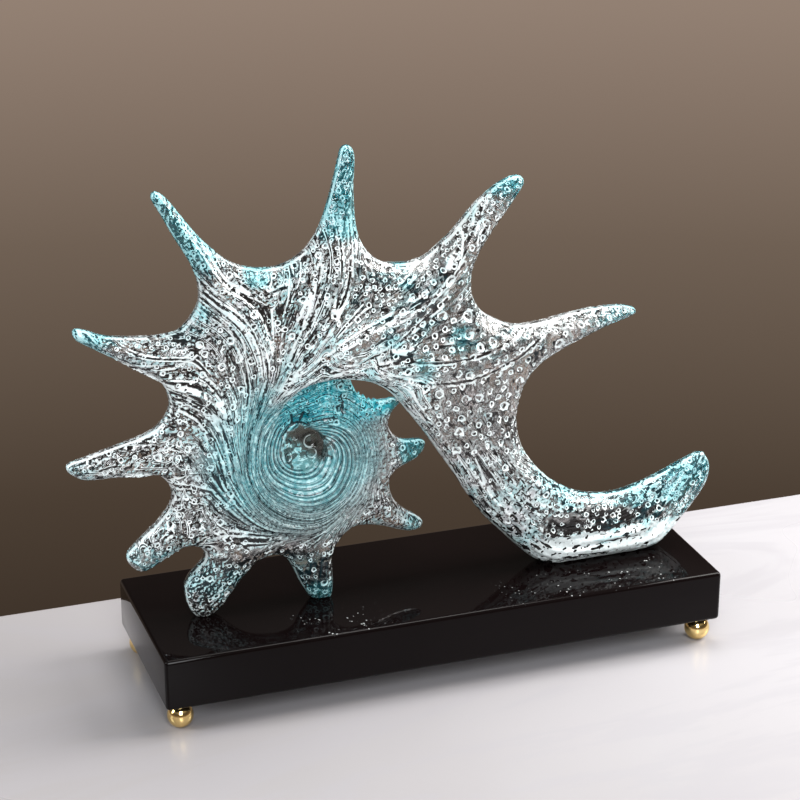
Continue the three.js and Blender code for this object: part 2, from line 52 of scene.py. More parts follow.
# ------------------------------------------------------------------ outline tables (mm)
# disc outline, anticlockwise seen from the front: x, y of the mid surface, z
DISC_OUTLINE = np.array([
  [-61.1, -3, 272.7], [-69.4, -3, 266.9], [-79.2, -3, 264.2], [-90.5, -3, 265.2], [-100.1, -3, 267.7], [-109.5, -3, 272.8],
  [-117, -2, 279.8], [-125.9, -1, 289.4], [-140.6, 0, 309.7], [-145.8, 0, 314.9], [-149.5, 0, 316.1], [-151.2, 0, 312.4],
  [-145.6, 0, 301.5], [-138.6, -1, 287.5], [-131.4, -2, 275], [-127.3, -3, 263.5], [-126, -3, 255.2], [-127.4, -3, 245.5],
  [-136, -2, 233.9], [-142.2, -1, 231], [-154.7, 0, 230], [-179.8, 0, 233.1], [-191.9, 0, 238], [-197.6, 0, 239.6],
  [-199.9, 0, 238.2], [-199.3, 0, 234.4], [-194, 0, 229.6], [-172.9, -1, 217.4], [-162.3, -2, 211.5], [-153.8, -2, 205.4],
  [-148.7, -3, 199.2], [-146.1, -3, 191.3], [-146, -3, 186.2], [-148.7, -3, 179.9], [-154.3, -2, 173.4], [-162.2, -1, 169],
  [-175.2, -1, 165.7], [-196, 0, 159.8], [-204.8, 0, 157.8], [-208.2, 0, 155.1], [-206.1, 0, 150.7], [-199.8, 0, 146.3],
  [-193.6, 0, 145], [-182.4, 0, 145], [-171.2, -1, 146.7], [-161.8, -2, 146.8], [-153.9, -2, 143.4], [-148.7, -3, 137.9],
  [-146.3, -3, 130], [-148.6, -3, 122.4], [-154.9, -2, 113.7], [-162.2, -2, 107.3], [-169.4, -2, 100.9], [-174.6, -2, 95.5],
  [-175.2, -2, 90.9], [-171.8, -2, 85.4], [-166.4, -2, 82.1], [-159.6, -2, 83.9], [-153.6, -2, 88.8], [-147.4, -3, 93],
  [-141.3, -4, 95.4], [-134.9, -4, 95.3], [-130.3, -4, 93.1], [-128.3, -5, 89.9], [-129.5, -5, 85.1], [-134.1, -5, 80.7],
  [-139, -5, 75.4], [-141.7, -6, 69.4], [-140.8, -6, 59.9], [-137.7, -6, 52.4], [-133.1, -6, 47.4], [-127, -6, 48],
  [-120.3, -6, 52.3], [-114.3, -6, 59.8], [-109.1, -5, 67.2], [-102.4, -5, 75], [-94, -4, 80.2], [-85.9, -4, 81.8],
  [-79.5, -4, 79.9], [-75, -5, 74.5], [-70.3, -5, 63.3], [-65.8, -6, 54.6], [-61.3, -6, 48.9], [-55, -6, 47.4],
  [-49.8, -6, 47.4], [-48.1, -6, 57.5], [-48.3, -5, 66.7], [-48, -4, 74.9], [-44.6, -3, 82.6], [-39.4, -2, 88.2],
  [-33.4, -1, 91.1], [-23.9, 0, 90.4], [-13.6, 1, 87.5], [-3.3, 2, 83.1], [4.8, 2, 80.7], [11.8, 2, 81.9],
  [13.4, 2, 86.3], [8.5, 2, 91.4], [1.8, 2, 95.9], [-4.9, 2, 102.8], [-8.2, 2, 111], [-7.8, 3, 118.3],
  [-4.5, 3, 122.9], [2.5, 4, 125.6], [9.8, 4, 128.8], [14.6, 4, 133.8], [15.6, 4, 138.5], [12, 4, 141],
  [5.2, 5, 141.4], [-0.4, 5, 142.6], [-5.3, 5, 146.6], [-7.6, 6, 151.4], [-7.1, 6, 157], [-3.9, 7, 161.6],
  [-0.3, 7, 165], [-0.6, 7, 167.6], [-4.8, 7, 169.4], [-10, 8, 168.6], [-15.7, 8, 168.6], [-20.9, 8, 170],
  [-25.3, 8, 173.2], [-28.5, 9, 177.5], [-30.3, 9, 183], [-32.8, 9, 189.1], [-36, 9, 193.1], [-39.1, 9, 192.5],
  [-41.7, 10, 188.6], [-45.2, 10, 186.5], [-48.9, 9, 189.3], [-51.4, 8, 195.1], [-53.1, 7, 202.7], [-55.4, 5, 216.5],
  [-57.1, 3, 230], [-58.4, 1, 245.2], [-59.7, -1, 260.9],
])
# arm stations: outer edge x, y, z, then inner edge x, y, z
ARM_STATIONS = np.array([
  [203.9, -2, 107, 207.2, -2, 101.4], [200.3, -2, 107.8, 208.2, -2, 96.3], [194.8, -2, 106.1, 207.2, -2, 90.1],
  [185.6, -2, 102.4, 203.3, -2, 82.4], [176.3, -2, 98.1, 195.1, -2, 72.2], [165.5, -2, 94, 183.9, -3, 60.7],
  [152.7, -3, 90.8, 171.5, -4, 50.2], [140.3, -3, 89, 155.3, -5, 47.4], [129, -4, 90.2, 135.4, -5, 47.4],
  [118.1, -4, 92.8, 115.9, -5, 47.4], [108.8, -4, 96.8, 100.2, -5, 47.4], [99.5, -4, 102.8, 86.8, -5, 51.8],
  [90.2, -4, 111.1, 75.6, -5, 61.3], [82.5, -4, 120.6, 63.1, -5, 74.3], [76.2, -4, 131.3, 49.9, -6, 89.1],
  [73.1, -4, 142.2, 37.9, -7, 106.9], [72.5, -4, 152.7, 28.4, -8, 122.8], [73.8, -4, 161.5, 19.1, -9, 136.8],
  [76.9, -4, 170.7, 10.4, -11, 150.2], [82.1, -4, 178.8, 3.9, -12, 159.5], [90.7, -3, 185, -1.6, -13, 166.9],
  [101, -2, 189.7, -6.1, -14, 172.8], [113.2, -1, 194.4, -10, -15, 177.7], [133.4, 0, 201.6, -13.2, -16, 181.7],
  [148.4, 0, 205.7, -16, -17, 184.4], [153, 0, 208.3, -17.8, -17, 185.9], [150.8, 0, 211.6, -19.1, -17, 186.8],
  [143.7, 0, 214, -20.4, -17, 187.7], [133, 0, 214.6, -21.9, -18, 188.9], [118.8, -1, 214.6, -23.2, -18, 189.7],
  [104.8, -2, 213.3, -24.5, -18, 190.3], [91, -3, 211.3, -25.7, -18, 191], [77.1, -4, 210.8, -27.3, -19, 192],
  [67.1, -4, 212.3, -28.5, -19, 192.4], [57, -4, 217.1, -29.8, -19, 192.8], [48.6, -4, 223, -31, -19, 193.2],
  [43.7, -4, 230.2, -32.1, -19, 193.6], [41.6, -4, 237.7, -33.5, -20, 194.2], [42.2, -3, 247, -34.5, -20, 194.4],
  [44.9, -2, 254.4, -35.4, -20, 194.6], [49.3, -1, 261.7, -36.3, -20, 194.8], [57.7, 0, 273.3, -37.2, -20, 195],
  [65.7, 0, 283.7, -38, -20, 195.2], [72.8, 0, 293.5, -38.8, -20, 195.3], [76, 0, 298.4, -39.6, -20, 195.5],
  [75.4, 0, 302.3, -40.3, -20, 195.6], [71.8, 0, 304.4, -41.1, -20, 195.8], [66.3, 0, 303.5, -41.8, -20, 195.9],
  [58, 0, 299.6, -42.5, -20, 196], [44.4, 0, 289, -43.3, -20, 196.1], [29.6, -1, 273.5, -44.2, -20, 196.2],
  [22.9, -2, 268.2, -45, -20, 196.3], [14.5, -3, 262.2, -45.9, -20, 196.4], [6.1, -4, 259.7, -47, -20, 196.6],
  [-1.9, -4, 259.1, -48.1, -20, 196.7], [-9.9, -4, 259.9, -49.2, -20, 196.7], [-16.3, -4, 261.9, -50.5, -20, 196.7],
  [-22.2, -3, 267, -51.7, -20, 196.7], [-26.9, -3, 273.8, -52.6, -19, 196.2], [-29.4, -2, 281.5, -53.9, -19, 196.1],
  [-30.5, -1, 292.3, -55.1, -19, 196.1], [-30.7, 0, 308.2, -56.3, -19, 196], [-29.9, 0, 322.8, -57.4, -19, 195.9],
  [-30.8, 0, 329.6, -58.4, -19, 195.8], [-34.4, 0, 333, -59.2, -18, 195.2], [-38.3, 0, 331.1, -60.3, -18, 195],
  [-40, 0, 325.3, -61.5, -18, 194.8], [-44.8, -1, 307.6, -62.9, -18, 194.5], [-50.7, -2, 290.2, -64.5, -17, 193.6],
  [-55, -3, 282.4, -66.7, -17, 193], [-61.1, -3, 274, -68.8, -16, 191.6], [-69.4, -3, 268.1, -71, -15, 189.7],
  [-79.2, -3, 265, -73.2, -14, 187.6], [-90.5, -3, 265, -75.7, -13, 184.8], [-99.6, -3, 265.1, -78, -11, 180.9],
  [-107.6, -4, 264.2, -80.2, -9, 176.4], [-113.5, -5, 258.5, -82.3, -7, 171.5], [-118.2, -6, 248.4, -84.2, -5, 165.8],
  [-119.8, -6, 234.5, -85.9, -3.5, 159.6], [-119.1, -6, 217.6, -87.2, -2.5, 152.9], [-116.7, -6, 198.6, -88.1, -2, 146.3],
  [-112.4, -6, 179, -88.2, -2, 139.8], [-105.9, -5, 159.8, -87.1, -2, 133.8], [-98.1, -4, 142.7, -85.7, -2, 129],
  [-89.4, -3, 129.3, -84.5, -2, 125.8],
])

# ------------------------------------------------------------------ small helpers
def smooth(a, b, t):
    s = np.clip((np.asarray(t, float) - a) / (b - a), 0, 1)
    return s * s * (3 - 2 * s)


def table(rows, t):
    return np.interp(t, [r[0] for r in rows], [r[1] for r in rows])


def spline(P, per, closed):
    """Catmull-Rom through rows of P, per points for each span."""
    n = len(P)
    out, where = [], []
    spans = n if closed else n - 1
    for i in range(spans):
        if closed:
            p0, p1, p2, p3 = P[(i - 1) % n], P[i], P[(i + 1) % n], P[(i + 2) % n]
        else:
            p0, p1, p2, p3 = P[max(i - 1, 0)], P[i], P[i + 1], P[min(i + 2, n - 1)]
        for j in range(per):
            t = j / per
            out.append(0.5 * (2 * p1 + (p2 - p0) * t + (2 * p0 - 5 * p1 + 4 * p2 - p3) * t * t
                              + (3 * p1 - p0 - 3 * p2 + p3) * t ** 3))
            where.append(i + t)
    if not closed:
        out.append(P[-1])
        where.append(n - 1)
    return np.array(out), np.array(where, float)


def edge_distance(Q, loop):
    """Distance of 2D points Q to the closed loop."""
    A, B = loop, np.roll(loop, -1, 0)
    D = B - A
    L2 = (D ** 2).sum(1) + 1e-12
    best = np.full(len(Q), 1e9)
    for s in range(0, len(Q), 4000):
        q = Q[s:s + 4000]
        v = q[:, None, :] - A[None]
        t = np.clip((v * D[None]).sum(2) / L2, 0, 1)
        d = np.sqrt(((v - t[..., None] * D[None]) ** 2).sum(2))
        best[s:s + 4000] = d.min(1)
    return best


def rounded(half, d, reach):
    s = 1 - np.minimum(1, d / reach)
    return half * np.sqrt(np.maximum(0, 1 - s * s))


def ring_spacing(n):
    t = np.linspace(0, 1, n)
    return 0.5 - 0.5 * np.cos(np.pi * t) * (0.55 + 0.45 * np.abs(np.cos(np.pi * t)))


def grid_mesh(x, z, mid, half, closed):
    """Closed shell from grids (stations, rings): front and back share the rim."""
    K, M = x.shape
    rim = np.zeros((K, M), bool)
    rim[:, 0] = rim[:, -1] = True
    if not closed:
        rim[0] = rim[-1] = True
    front = np.arange(K * M).reshape(K, M)
    verts = [np.stack([x, np.where(rim, mid, mid - half), z], 2).reshape(-1, 3)]
    back = front.copy()
    free = ~rim
    back[free] = K * M + np.arange(free.sum())
    verts.append(np.stack([x[free], (mid + half)[free], z[free]], 1))
    faces = []
    last = K if closed else K - 1
    for k in range(last):
        n = (k + 1) % K
        f, g, b, c = front[k], front[n], back[k], back[n]
        faces.append(np.stack([f[:-1], f[1:], g[1:], g[:-1]], 1))
        faces.append(np.stack([b[:-1], c[:-1], c[1:], b[1:]], 1))
    return np.concatenate(verts), np.concatenate(faces)


# ------------------------------------------------------------------ casting: disc and arm
BAY_RADIUS = [(90, 108), (107, 109), (126, 112), (166, 88), (201, 88), (224, 90), (251, 71), (297, 57),
              (330, 56), (371, 48), (397, 43), (450, 43)]
EDGE_ROUND = 12.0


def disc_grid():
    P, _ = spline(DISC_OUTLINE, 4, True)
    P[:, 2] = np.maximum(P[:, 2], 47.4)
    loop = P[:, [0, 2]]
    K = len(P)
    turn = np.unwrap(np.arctan2(loop[:, 1] - EYE_Z, loop[:, 0] - EYE_X))
    ext = np.concatenate([turn[-12:] - 2 * np.pi, turn, turn[:12] + 2 * np.pi])
    even = np.convolve(ext, np.ones(25) / 25, "valid")
    w = ring_spacing(64)
    ex, ez = EYE_X + EYE_A * np.cos(even), EYE_Z + EYE_B * np.sin(even)
    x = ex[:, None] + (loop[:, 0] - ex)[:, None] * w
    z = ez[:, None] + (loop[:, 1] - ez)[:, None] * w
    deg = np.degrees(turn - turn[0]) + 90
    r = np.hypot(x - EYE_X, z - EYE_Z)
    bay = table(BAY_RADIUS, deg)
    bay = np.convolve(np.concatenate([np.full(10, bay[0]), bay, np.full(10, bay[-1])]), np.ones(21) / 21, "valid")
    u = r / bay[:, None]
    coil = smooth(260, 400, deg)[:, None]
    mid = 6 + (-8 + 11 * coil - 6) * smooth(0.12, 0.62, u)
    mid = mid + (P[:, 1][:, None] - mid) * smooth(0.3, 1, w)[None, :]
    full = (5 + 7 * smooth(0.12, 0.62, u) - 5 * smooth(0.75, 1.75, u)) * (1 - 0.3 * coil)
    d = edge_distance(np.stack([x.ravel(), z.ravel()], 1), loop).reshape(x.shape)
    inner = np.hypot(x - ex[:, None], z - ez[:, None])
    half = np.minimum(rounded(full, d, EDGE_ROUND), rounded(full, inner, 7.0))
    return x, z, mid, half, loop


def arm_grid():
    S, k = spline(ARM_STATIONS, 4, False)
    S[:, 2] = np.maximum(S[:, 2], 47.4)
    S[:, 5] = np.maximum(S[:, 5], 47.4)
    loop = np.concatenate([S[:, [0, 2]], S[::-1][:, [3, 5]]])
    w = ring_spacing(56)
    x = S[:, 3:4] + (S[:, 0:1] - S[:, 3:4]) * w
    z = S[:, 5:6] + (S[:, 2:3] - S[:, 5:6]) * w
    mid = S[:, 1:2] + (S[:, 4:5] - S[:, 1:2]) * (1 - w) ** 1.5
    a = table([(0, 6), (5, 12), (10, 14), (16, 11), (24, 9), (40, 8.5), (60, 8.5), (72, 7), (84, 5)], k)[:, None]
    b = table([(0, 6), (5, 9), (8, 10), (17, 10), (25, 6.5), (33, 10), (44, 6.5), (54, 10), (64, 6.5), (71, 10), (84, 6)], k)[:, None]
    full = a + (b - a) * w + 12 * w * (1 - w) * (smooth(0, 10, k) * (1 - smooth(70, 84, k)))[:, None]
    d = edge_distance(np.stack([x.ravel(), z.ravel()], 1), loop).reshape(x.shape)
    half = rounded(full, d, EDGE_ROUND)
    return x, z, mid, half, loop, k, w


def new_mesh(name, verts, faces):
    me = bpy.data.meshes.new(name)
    me.from_pydata([tuple(v) for v in verts], [], [tuple(int(i) for i in f) for f in faces])
    me.validate()
    me.update()
    ob = bpy.data.objects.new(name, me)
    bpy.context.scene.collection.objects.link(ob)
    return ob


def coords(me):
    c = np.empty(len(me.vertices) * 3, np.float32)
    me.vertices.foreach_get("co", c)
    return c.reshape(-1, 3).astype(float)


def set_coords(me, c):
    me.vertices.foreach_set("co", np.asarray(c, np.float32).ravel())
    me.update()


def normals(me):
    n = np.empty(len(me.vertices) * 3, np.float32)
    me.vertex_normals.foreach_get("vector", n)
    return n.reshape(-1, 3).astype(float)


def edges_of(me):
    e = np.empty(len(me.edges) * 2, np.int32)
    me.edges.foreach_get("vertices", e)
    return e.reshape(-1, 2)


def relax(c, e, rounds, lam=0.5, mu=-0.52):
    deg = np.bincount(e.ravel(), minlength=len(c)).astype(float)[:, None]
    for i in range(rounds):
        for f in (lam, mu):
            acc = np.zeros_like(c)
            for a in range(3):
                acc[:, a] = (np.bincount(e[:, 0], c[e[:, 1], a], len(c)) + np.bincount(e[:, 1], c[e[:, 0], a], len(c)))
            c = c + f * (acc / deg - c)
    return c


# ------------------------------------------------------------------ the casting's mesh
def attribute(me, name, kind, data):
    a = me.attributes.get(name) or me.attributes.new(name, kind, "POINT")
    key = {"FLOAT": "value", "FLOAT_VECTOR": "vector"}[kind]
    a.data.foreach_set(key, np.asarray(data, np.float32).ravel())


def kd_of(points):
    kd = KDTree(len(points))
    for i, p in enumerate(points):
        kd.insert(p, i)
    kd.balance()
    return kd


LATTICE = np.random.default_rng(5).random(4096) * 2 - 1


def value_noise(p):
    i = np.floor(p).astype(np.int64)
    f = p - i
    u = f * f * f * (f * (f * 6 - 15) + 10)
    out = 0
    for a in (0, 1):
        for b in (0, 1):
            for c in (0, 1):
                h = ((i[:, 0] + a) * 73856093) ^ ((i[:, 1] + b) * 19349663) ^ ((i[:, 2] + c) * 83492791)
                h = (h ^ (h >> 13)) * 1274126177
                w = (u[:, 0] if a else 1 - u[:, 0]) * (u[:, 1] if b else 1 - u[:, 1]) * (u[:, 2] if c else 1 - u[:, 2])
                out = out + w * LATTICE[(h ^ (h >> 16)) & 4095]
    return out


def fbm(p, octaves=2):
    p = np.asarray(p, float)
    out = value_noise(p)
    for k in range(1, octaves):
        out = out + 0.5 ** k * value_noise(p * 2.03 ** k + 7.1 * k)
    return out


def spread(v, e, n, rounds):
    """v averaged with its neighbours' values, rounds times."""
    deg = np.bincount(e.ravel(), minlength=n) + 1.0
    for _ in range(rounds):
        v = (v + np.bincount(e[:, 0], v[e[:, 1]], n) + np.bincount(e[:, 1], v[e[:, 0]], n)) / deg
    return v


def twist(r):
    """How far a flow line has turned round the eye, in radians, at distance r in mm."""
    px = r / 0.603
    far = 97 * (70 / np.maximum(px, 65)) ** 3.2
    near = 6.6 * np.maximum(65 - px, 0)
    return np.radians(far + near)


FAN = [(0, 0), (20, 34), (50, 85), (75, 122), (100, 128), (150, 110), (220, 75), (290, 38), (360, 0)]


def fan(th, r):
    """Extra turn of the flow lines beside the eye: they open out like a fan at its upper right."""
    phi = (90 - np.degrees(th)) % 360
    grid = np.arange(-40, 401)
    wave = np.interp(grid % 360, [p[0] for p in FAN], [p[1] for p in FAN])
    wave = np.convolve(wave, np.ones(31) / 31, "same")
    return np.radians(np.interp(phi, grid, wave)) * 0.95 * smooth(50, 28, r)


# lines (x, z) along which the frosted streaks run, from the spikes in to the funnel
STREAMS = [
    [(-149.8, 286), (-137.8, 275.8), (-125.7, 261.9), (-113.7, 249.8), (-101.6, 236), (-96.8, 228.1),
     (-93.2, 219.7), (-90.7, 211.2), (-90.1, 204), (-90.7, 195.6), (-92.6, 187.1), (-95, 178.7), (-97.4, 170.2),
     (-99.2, 160)],
    [(-125.7, 246.2), (-112.5, 235.4), (-107.6, 229.3), (-105.2, 222.1), (-104, 214.2), (-102.2, 205.2),
     (-101.6, 193.1), (-102.8, 184.1), (-104.6, 175.1), (-106.4, 166), (-107.6, 157)],
    [(-41.3, 247.4), (-47.3, 238.4), (-53.4, 229.3), (-60.6, 219.7), (-67.2, 212.4), (-73.9, 205.2), (-78.1, 198),
     (-82.3, 188.3), (-85.9, 179.9)],
    [(-36.5, 295.6), (-36.5, 283.6), (-37.1, 271.5), (-37.7, 259.5), (-40.1, 250.4), (-44.9, 241.4),
     (-50.3, 233.5), (-55.8, 225.7), (-61.8, 218.5), (-67.8, 211.2)],
    [(-55.8, 265.5), (-58.2, 256.5), (-58.8, 247.4), (-61.8, 238.4), (-66, 229.3), (-71.5, 220.3), (-75.1, 211.2),
     (-79.9, 202.8), (-83.5, 194.3)],
    [(32.3, 258.3), (25, 250.4), (19, 245.6), (11.8, 240.2), (2.1, 236), (-6.3, 231.1), (-16, 227.5), (-28, 224.5),
     (-37.7, 220.9), (-47.3, 216.7), (-56.4, 211.8), (-65.4, 205.8), (-72.7, 198)],
    [(22, 237.2), (16, 232.9), (6.9, 227.5), (-2.1, 221.5), (-9.3, 216.7), (-18.4, 212.4), (-28, 209.4),
     (-38.3, 205.8), (-50.3, 202.8), (-60.6, 198.6), (-67.2, 193.1), (-73.3, 185.9)],
    [(133.6, 228.1), (115.5, 223.3), (103.4, 217.9), (91.4, 210), (79.3, 201), (67.2, 193.7), (55.2, 188.3),
     (43.1, 185.3), (31.1, 184.7), (19, 185.3), (10, 186.5), (-2.1, 190.1), (-12.4, 194.3), (-23.2, 198),
     (-35.3, 199.2), (-47.3, 197.4), (-58.2, 193.7), (-66.6, 188.3)],
    [(79.3, 212.4), (67.2, 207.6), (55.2, 203.4), (43.1, 200.4), (31.1, 199.2), (19, 199.8), (6.9, 201),
     (-5.1, 202.8), (-17.2, 204), (-29.2, 202.8), (-41.3, 200.4), (-53.4, 198)],
    [(55.2, 301.7), (46.1, 286.6), (37.1, 271.5), (28, 258.3), (20.2, 247.4)],
    [(-186, 140.1), (-174, 140.1), (-161.9, 139.5), (-149.8, 138.3), (-137.8, 137.1), (-125.7, 132.8),
     (-119.7, 125), (-113.7, 117.2), (-106.4, 110.5), (-98, 105.7), (-88.3, 102.1), (-77.5, 99.7)],
    [(-186, 208.2), (-174, 204), (-161.9, 200.4), (-149.8, 198), (-140.8, 195.6), (-131.8, 190.1), (-125.7, 185.9),
     (-121.5, 181.1), (-118.5, 175.1), (-116.1, 167.8), (-114.3, 160), (-113.1, 150.9), (-111.9, 141.9),
     (-109.4, 132.8), (-105.8, 124.4), (-101, 116.6), (-94.4, 109.9)],
    [(-137.8, 211.2), (-131.8, 208.2), (-125.7, 203.4), (-120.9, 198), (-117.3, 191.9), (-115.5, 184.1),
     (-113.7, 175.1), (-113.1, 166), (-112.5, 157)],
    [(-140.8, 187.1), (-131.8, 181.1), (-126.9, 173.8), (-123.3, 166), (-121.5, 157), (-119.7, 147.9),
     (-117.3, 138.9), (-113.7, 130.4), (-108.8, 122.6)],
    [(-161.9, 83.4), (-149.8, 87), (-140.8, 93.6), (-134.8, 98.5), (-128.7, 102.7), (-122.7, 104.5),
     (-114.9, 105.1), (-106.4, 103.9), (-98, 102.1), (-88.3, 99.7), (-77.5, 98.5)],
    [(-120.9, 55.7), (-116.1, 64.1), (-110, 72.5), (-102.8, 79.8), (-95.6, 85.2), (-87.1, 89.4), (-77.5, 91.8),
     (-67.8, 93)],
    [(-98.6, 89.4), (-90.7, 93.6), (-80.5, 96.7), (-71.5, 97.3), (-62.4, 97.9), (-53.4, 100.9), (-46.1, 105.1)],
    [(-101.6, 163), (-101, 150.9), (-99.8, 138.9), (-96.2, 128), (-90.7, 119), (-83.5, 111.7), (-74.5, 107.5),
     (-65.4, 105.7)],
    [(-167.9, 214.2), (-155.9, 213.6), (-145, 214.8), (-135.4, 218.5), (-128.1, 224.5)],
    [(-112.5, 258.3), (-101.6, 253.4), (-88.3, 252.2), (-74.5, 255.9), (-65.4, 261.9)],
    [(-26.2, 265.5), (-14.2, 258.3), (0.9, 258.3), (13, 264.3)],
]


CELL_MM = 10.0
FIELD_X, FIELD_Z = -220.0, 40.0
FIELD_NX, FIELD_NZ = 35, 31


def plain_turn(x, z):
    r = np.hypot(x - EYE_X, z - EYE_Z)
    th = np.arctan2(z - EYE_Z, x - EYE_X)
    return th - twist(r) - fan(th, r)


def cell_weights(x, z):
    """The four grid points round each point and their shares."""
    u = np.clip((np.asarray(x, float) - FIELD_X) / CELL_MM, 0, FIELD_NX - 1.001)
    v = np.clip((np.asarray(z, float) - FIELD_Z) / CELL_MM, 0, FIELD_NZ - 1.001)
    i, j = u.astype(int), v.astype(int)
    a, b = u - i, v - j
    idx = np.stack([j * FIELD_NX + i, j * FIELD_NX + i + 1, (j + 1) * FIELD_NX + i, (j + 1) * FIELD_NX + i + 1], 1)
    return idx, np.stack([(1 - a) * (1 - b), a * (1 - b), (1 - a) * b, a * b], 1)


def stream_field():
    """A smooth change of the turn, on a grid, that makes its level lines follow STREAMS."""
    n = FIELD_NX * FIELD_NZ
    N, rhs = np.zeros((n, n)), np.zeros(n)

    def row(items, value, weight):
        k = np.array([i[0] for i in items])
        w = np.array([i[1] for i in items]) * weight
        np.add.at(N, (k[:, None], k[None, :]), w[:, None] * w[None, :])
        np.add.at(rhs, k, w * value * weight)

    for line in STREAMS:
        pts = np.array(line, float)
        step = np.hypot(*np.diff(pts, axis=0).T)
        at = np.concatenate([[0], np.cumsum(step)])
        t = np.linspace(0, at[-1], max(3, int(at[-1] / 4)))
        px, pz = np.interp(t, at, pts[:, 0]), np.interp(t, at, pts[:, 1])
        d = plain_turn(px[1:], pz[1:]) - plain_turn(px[:-1], pz[:-1])
        d = (d + np.pi) % (2 * np.pi) - np.pi
        i0, w0 = cell_weights(px[:-1], pz[:-1])
        i1, w1 = cell_weights(px[1:], pz[1:])
        ok = np.hypot(px[1:] - EYE_X, pz[1:] - EYE_Z) > 36
        for k in range(len(d)):
            if ok[k]:
                row(list(zip(i1[k], w1[k])) + list(zip(i0[k], -w0[k])), -d[k], 3.0)
    for j in range(FIELD_NZ):
        for i in range(FIELD_NX):
            k = j * FIELD_NX + i
            if 0 < i < FIELD_NX - 1:
                row([(k - 1, 1), (k + 1, 1), (k, -2)], 0.0, 0.6)
            if 0 < j < FIELD_NZ - 1:
                row([(k - FIELD_NX, 1), (k + FIELD_NX, 1), (k, -2)], 0.0, 0.6)
            gx, gz = FIELD_X + i * CELL_MM, FIELD_Z + j * CELL_MM
            r = math.hypot(gx - EYE_X, gz - EYE_Z)
            row([(k, 1)], 0.0, 3.0 if r < 34 else 0.02)
    return np.linalg.solve(N, rhs)


def stream_turn(f, x, z):
    """The change f of the turn at (x, z), averaged a little so that it has no creases."""
    out = 0
    for dx, dz in ((0, 0), (4, 0), (-4, 0), (0, 4), (0, -4), (3, 3), (-3, 3), (3, -3), (-3, -3)):
        i, w = cell_weights(x + dx, z + dz)
        out = out + (f[i] * w).sum(1)
    return out / 9


def line_distance(Q, lines):
    """Distance in mm from (x, z) points to open lines given in (x, z)."""
    best = np.full(len(Q), 1e9)
    for line in lines:
        for a, b in zip(line[:-1], line[1:]):
            a, b = np.array(a, float), np.array(b, float)
            t = np.clip((Q - a) @ (b - a) / ((b - a) @ (b - a)), 0, 1)
            best = np.minimum(best, np.linalg.norm(Q - a - t[:, None] * (b - a), axis=1))
    return best


CREASES = [[(-76, 156), (-72, 161), (-67, 163.5), (-62, 161), (-55, 164), (-45, 165.5)], [(-69.5, 162), (-71, 169.5)],
           [(-65.5, 162), (-63.5, 170)], [(-39, 167), (-38.5, 178)]]
EYE_BUBBLES = [(-73.6, 149.0, 2.8), (-67.0, 152.0, 1.7), (-72.0, 139.6, 2.6), (-58.0, 148.6, 4.6), (-57.0, 140.6, 3.2),
               (-41.5, 171.0, 4.2)]


# spike tips (x, z), how far the turquoise reaches down from each, and how strong it is
TIPS = [(-34, 332, 82, 1.0), (-150.5, 315, 88, 1.0), (74, 302, 66, 0.62), (152, 209, 60, 0.68), (-199.5, 237, 64, 0.95),
        (-207, 153, 34, 0.4), (-173, 90, 50, 0.5), (-137, 52, 30, 0.4), (-56, 49, 34, 0.65), (12, 84, 26, 0.45),
        (15, 137, 28, 1.0), (-2, 167, 20, 0.8), (205, 104, 58, 0.95), (-130, 247, 14, 0.6), (-92, 264, 14, 0.8),
        (-4, 260, 13, 0.7), (-127, 190, 10, 0.5), (150, 90, 16, 0.8), (118, 93, 12, 0.7),
        (30, 204, 22, 0.34), (8, 200, 18, 0.34), (-13, 217, 14, 0.36), (-32, 196, 16, 0.42), (-4, 252, 14, 0.50)]


def drill(me, holes, sides=32):
    """The mesh with upright holes cut in it: (x, y, radius, bottom, top), all in mm."""
    ob = bpy.data.objects.new("drilled", me)
    bpy.context.scene.collection.objects.link(ob)
    v, f = [], []
    for x, y, rad, z0, z1 in holes:
        k = len(v)
        ring = [(x + rad * math.cos(2 * math.pi * i / sides), y + rad * math.sin(2 * math.pi * i / sides)) for i in range(sides)]
        v += [(*p, z0) for p in ring] + [(*p, z1) for p in ring]
        f += [tuple(range(k + sides - 1, k - 1, -1)), tuple(range(k + sides, k + 2 * sides))]
        f += [(k + i, k + (i + 1) % sides, k + sides + (i + 1) % sides, k + sides + i) for i in range(sides)]
    tool_me = bpy.data.meshes.new("cutters")
    tool_me.from_pydata(v, [], f)
    tool_me.update()
    tool = bpy.data.objects.new("cutters", tool_me)
    bpy.context.scene.collection.objects.link(tool)
    mod = ob.modifiers.new("b", "BOOLEAN")
    mod.operation = "DIFFERENCE"
    mod.solver = "MANIFOLD"
    mod.object = tool
    dg = bpy.context.evaluated_depsgraph_get()
    out = bpy.data.meshes.new_from_object(ob.evaluated_get(dg))
    bpy.data.objects.remove(ob)
    bpy.data.objects.remove(tool)
    return out


def window_mesh(sides=48):
    """The thin window across the eye."""
    prof = [(0, -2.0), (0.6, -2.0), (1, -2.8), (1, 2.8), (0.6, 2.0), (0, 2.0)]
    v, f = [], []
    for rad, y in prof:
        for i in range(sides):
            a = 2 * math.pi * i / sides
            v.append((EYE_X + (EYE_A + 2) * rad * math.cos(a), 6 + y, EYE_Z + (EYE_B + 2) * rad * math.sin(a)))
    for k in range(len(prof) - 1):
        for i in range(sides):
            j = (i + 1) % sides
            f.append((k * sides + i, k * sides + j, (k + 1) * sides + j, (k + 1) * sides + i))
    return np.array(v), np.array(f)


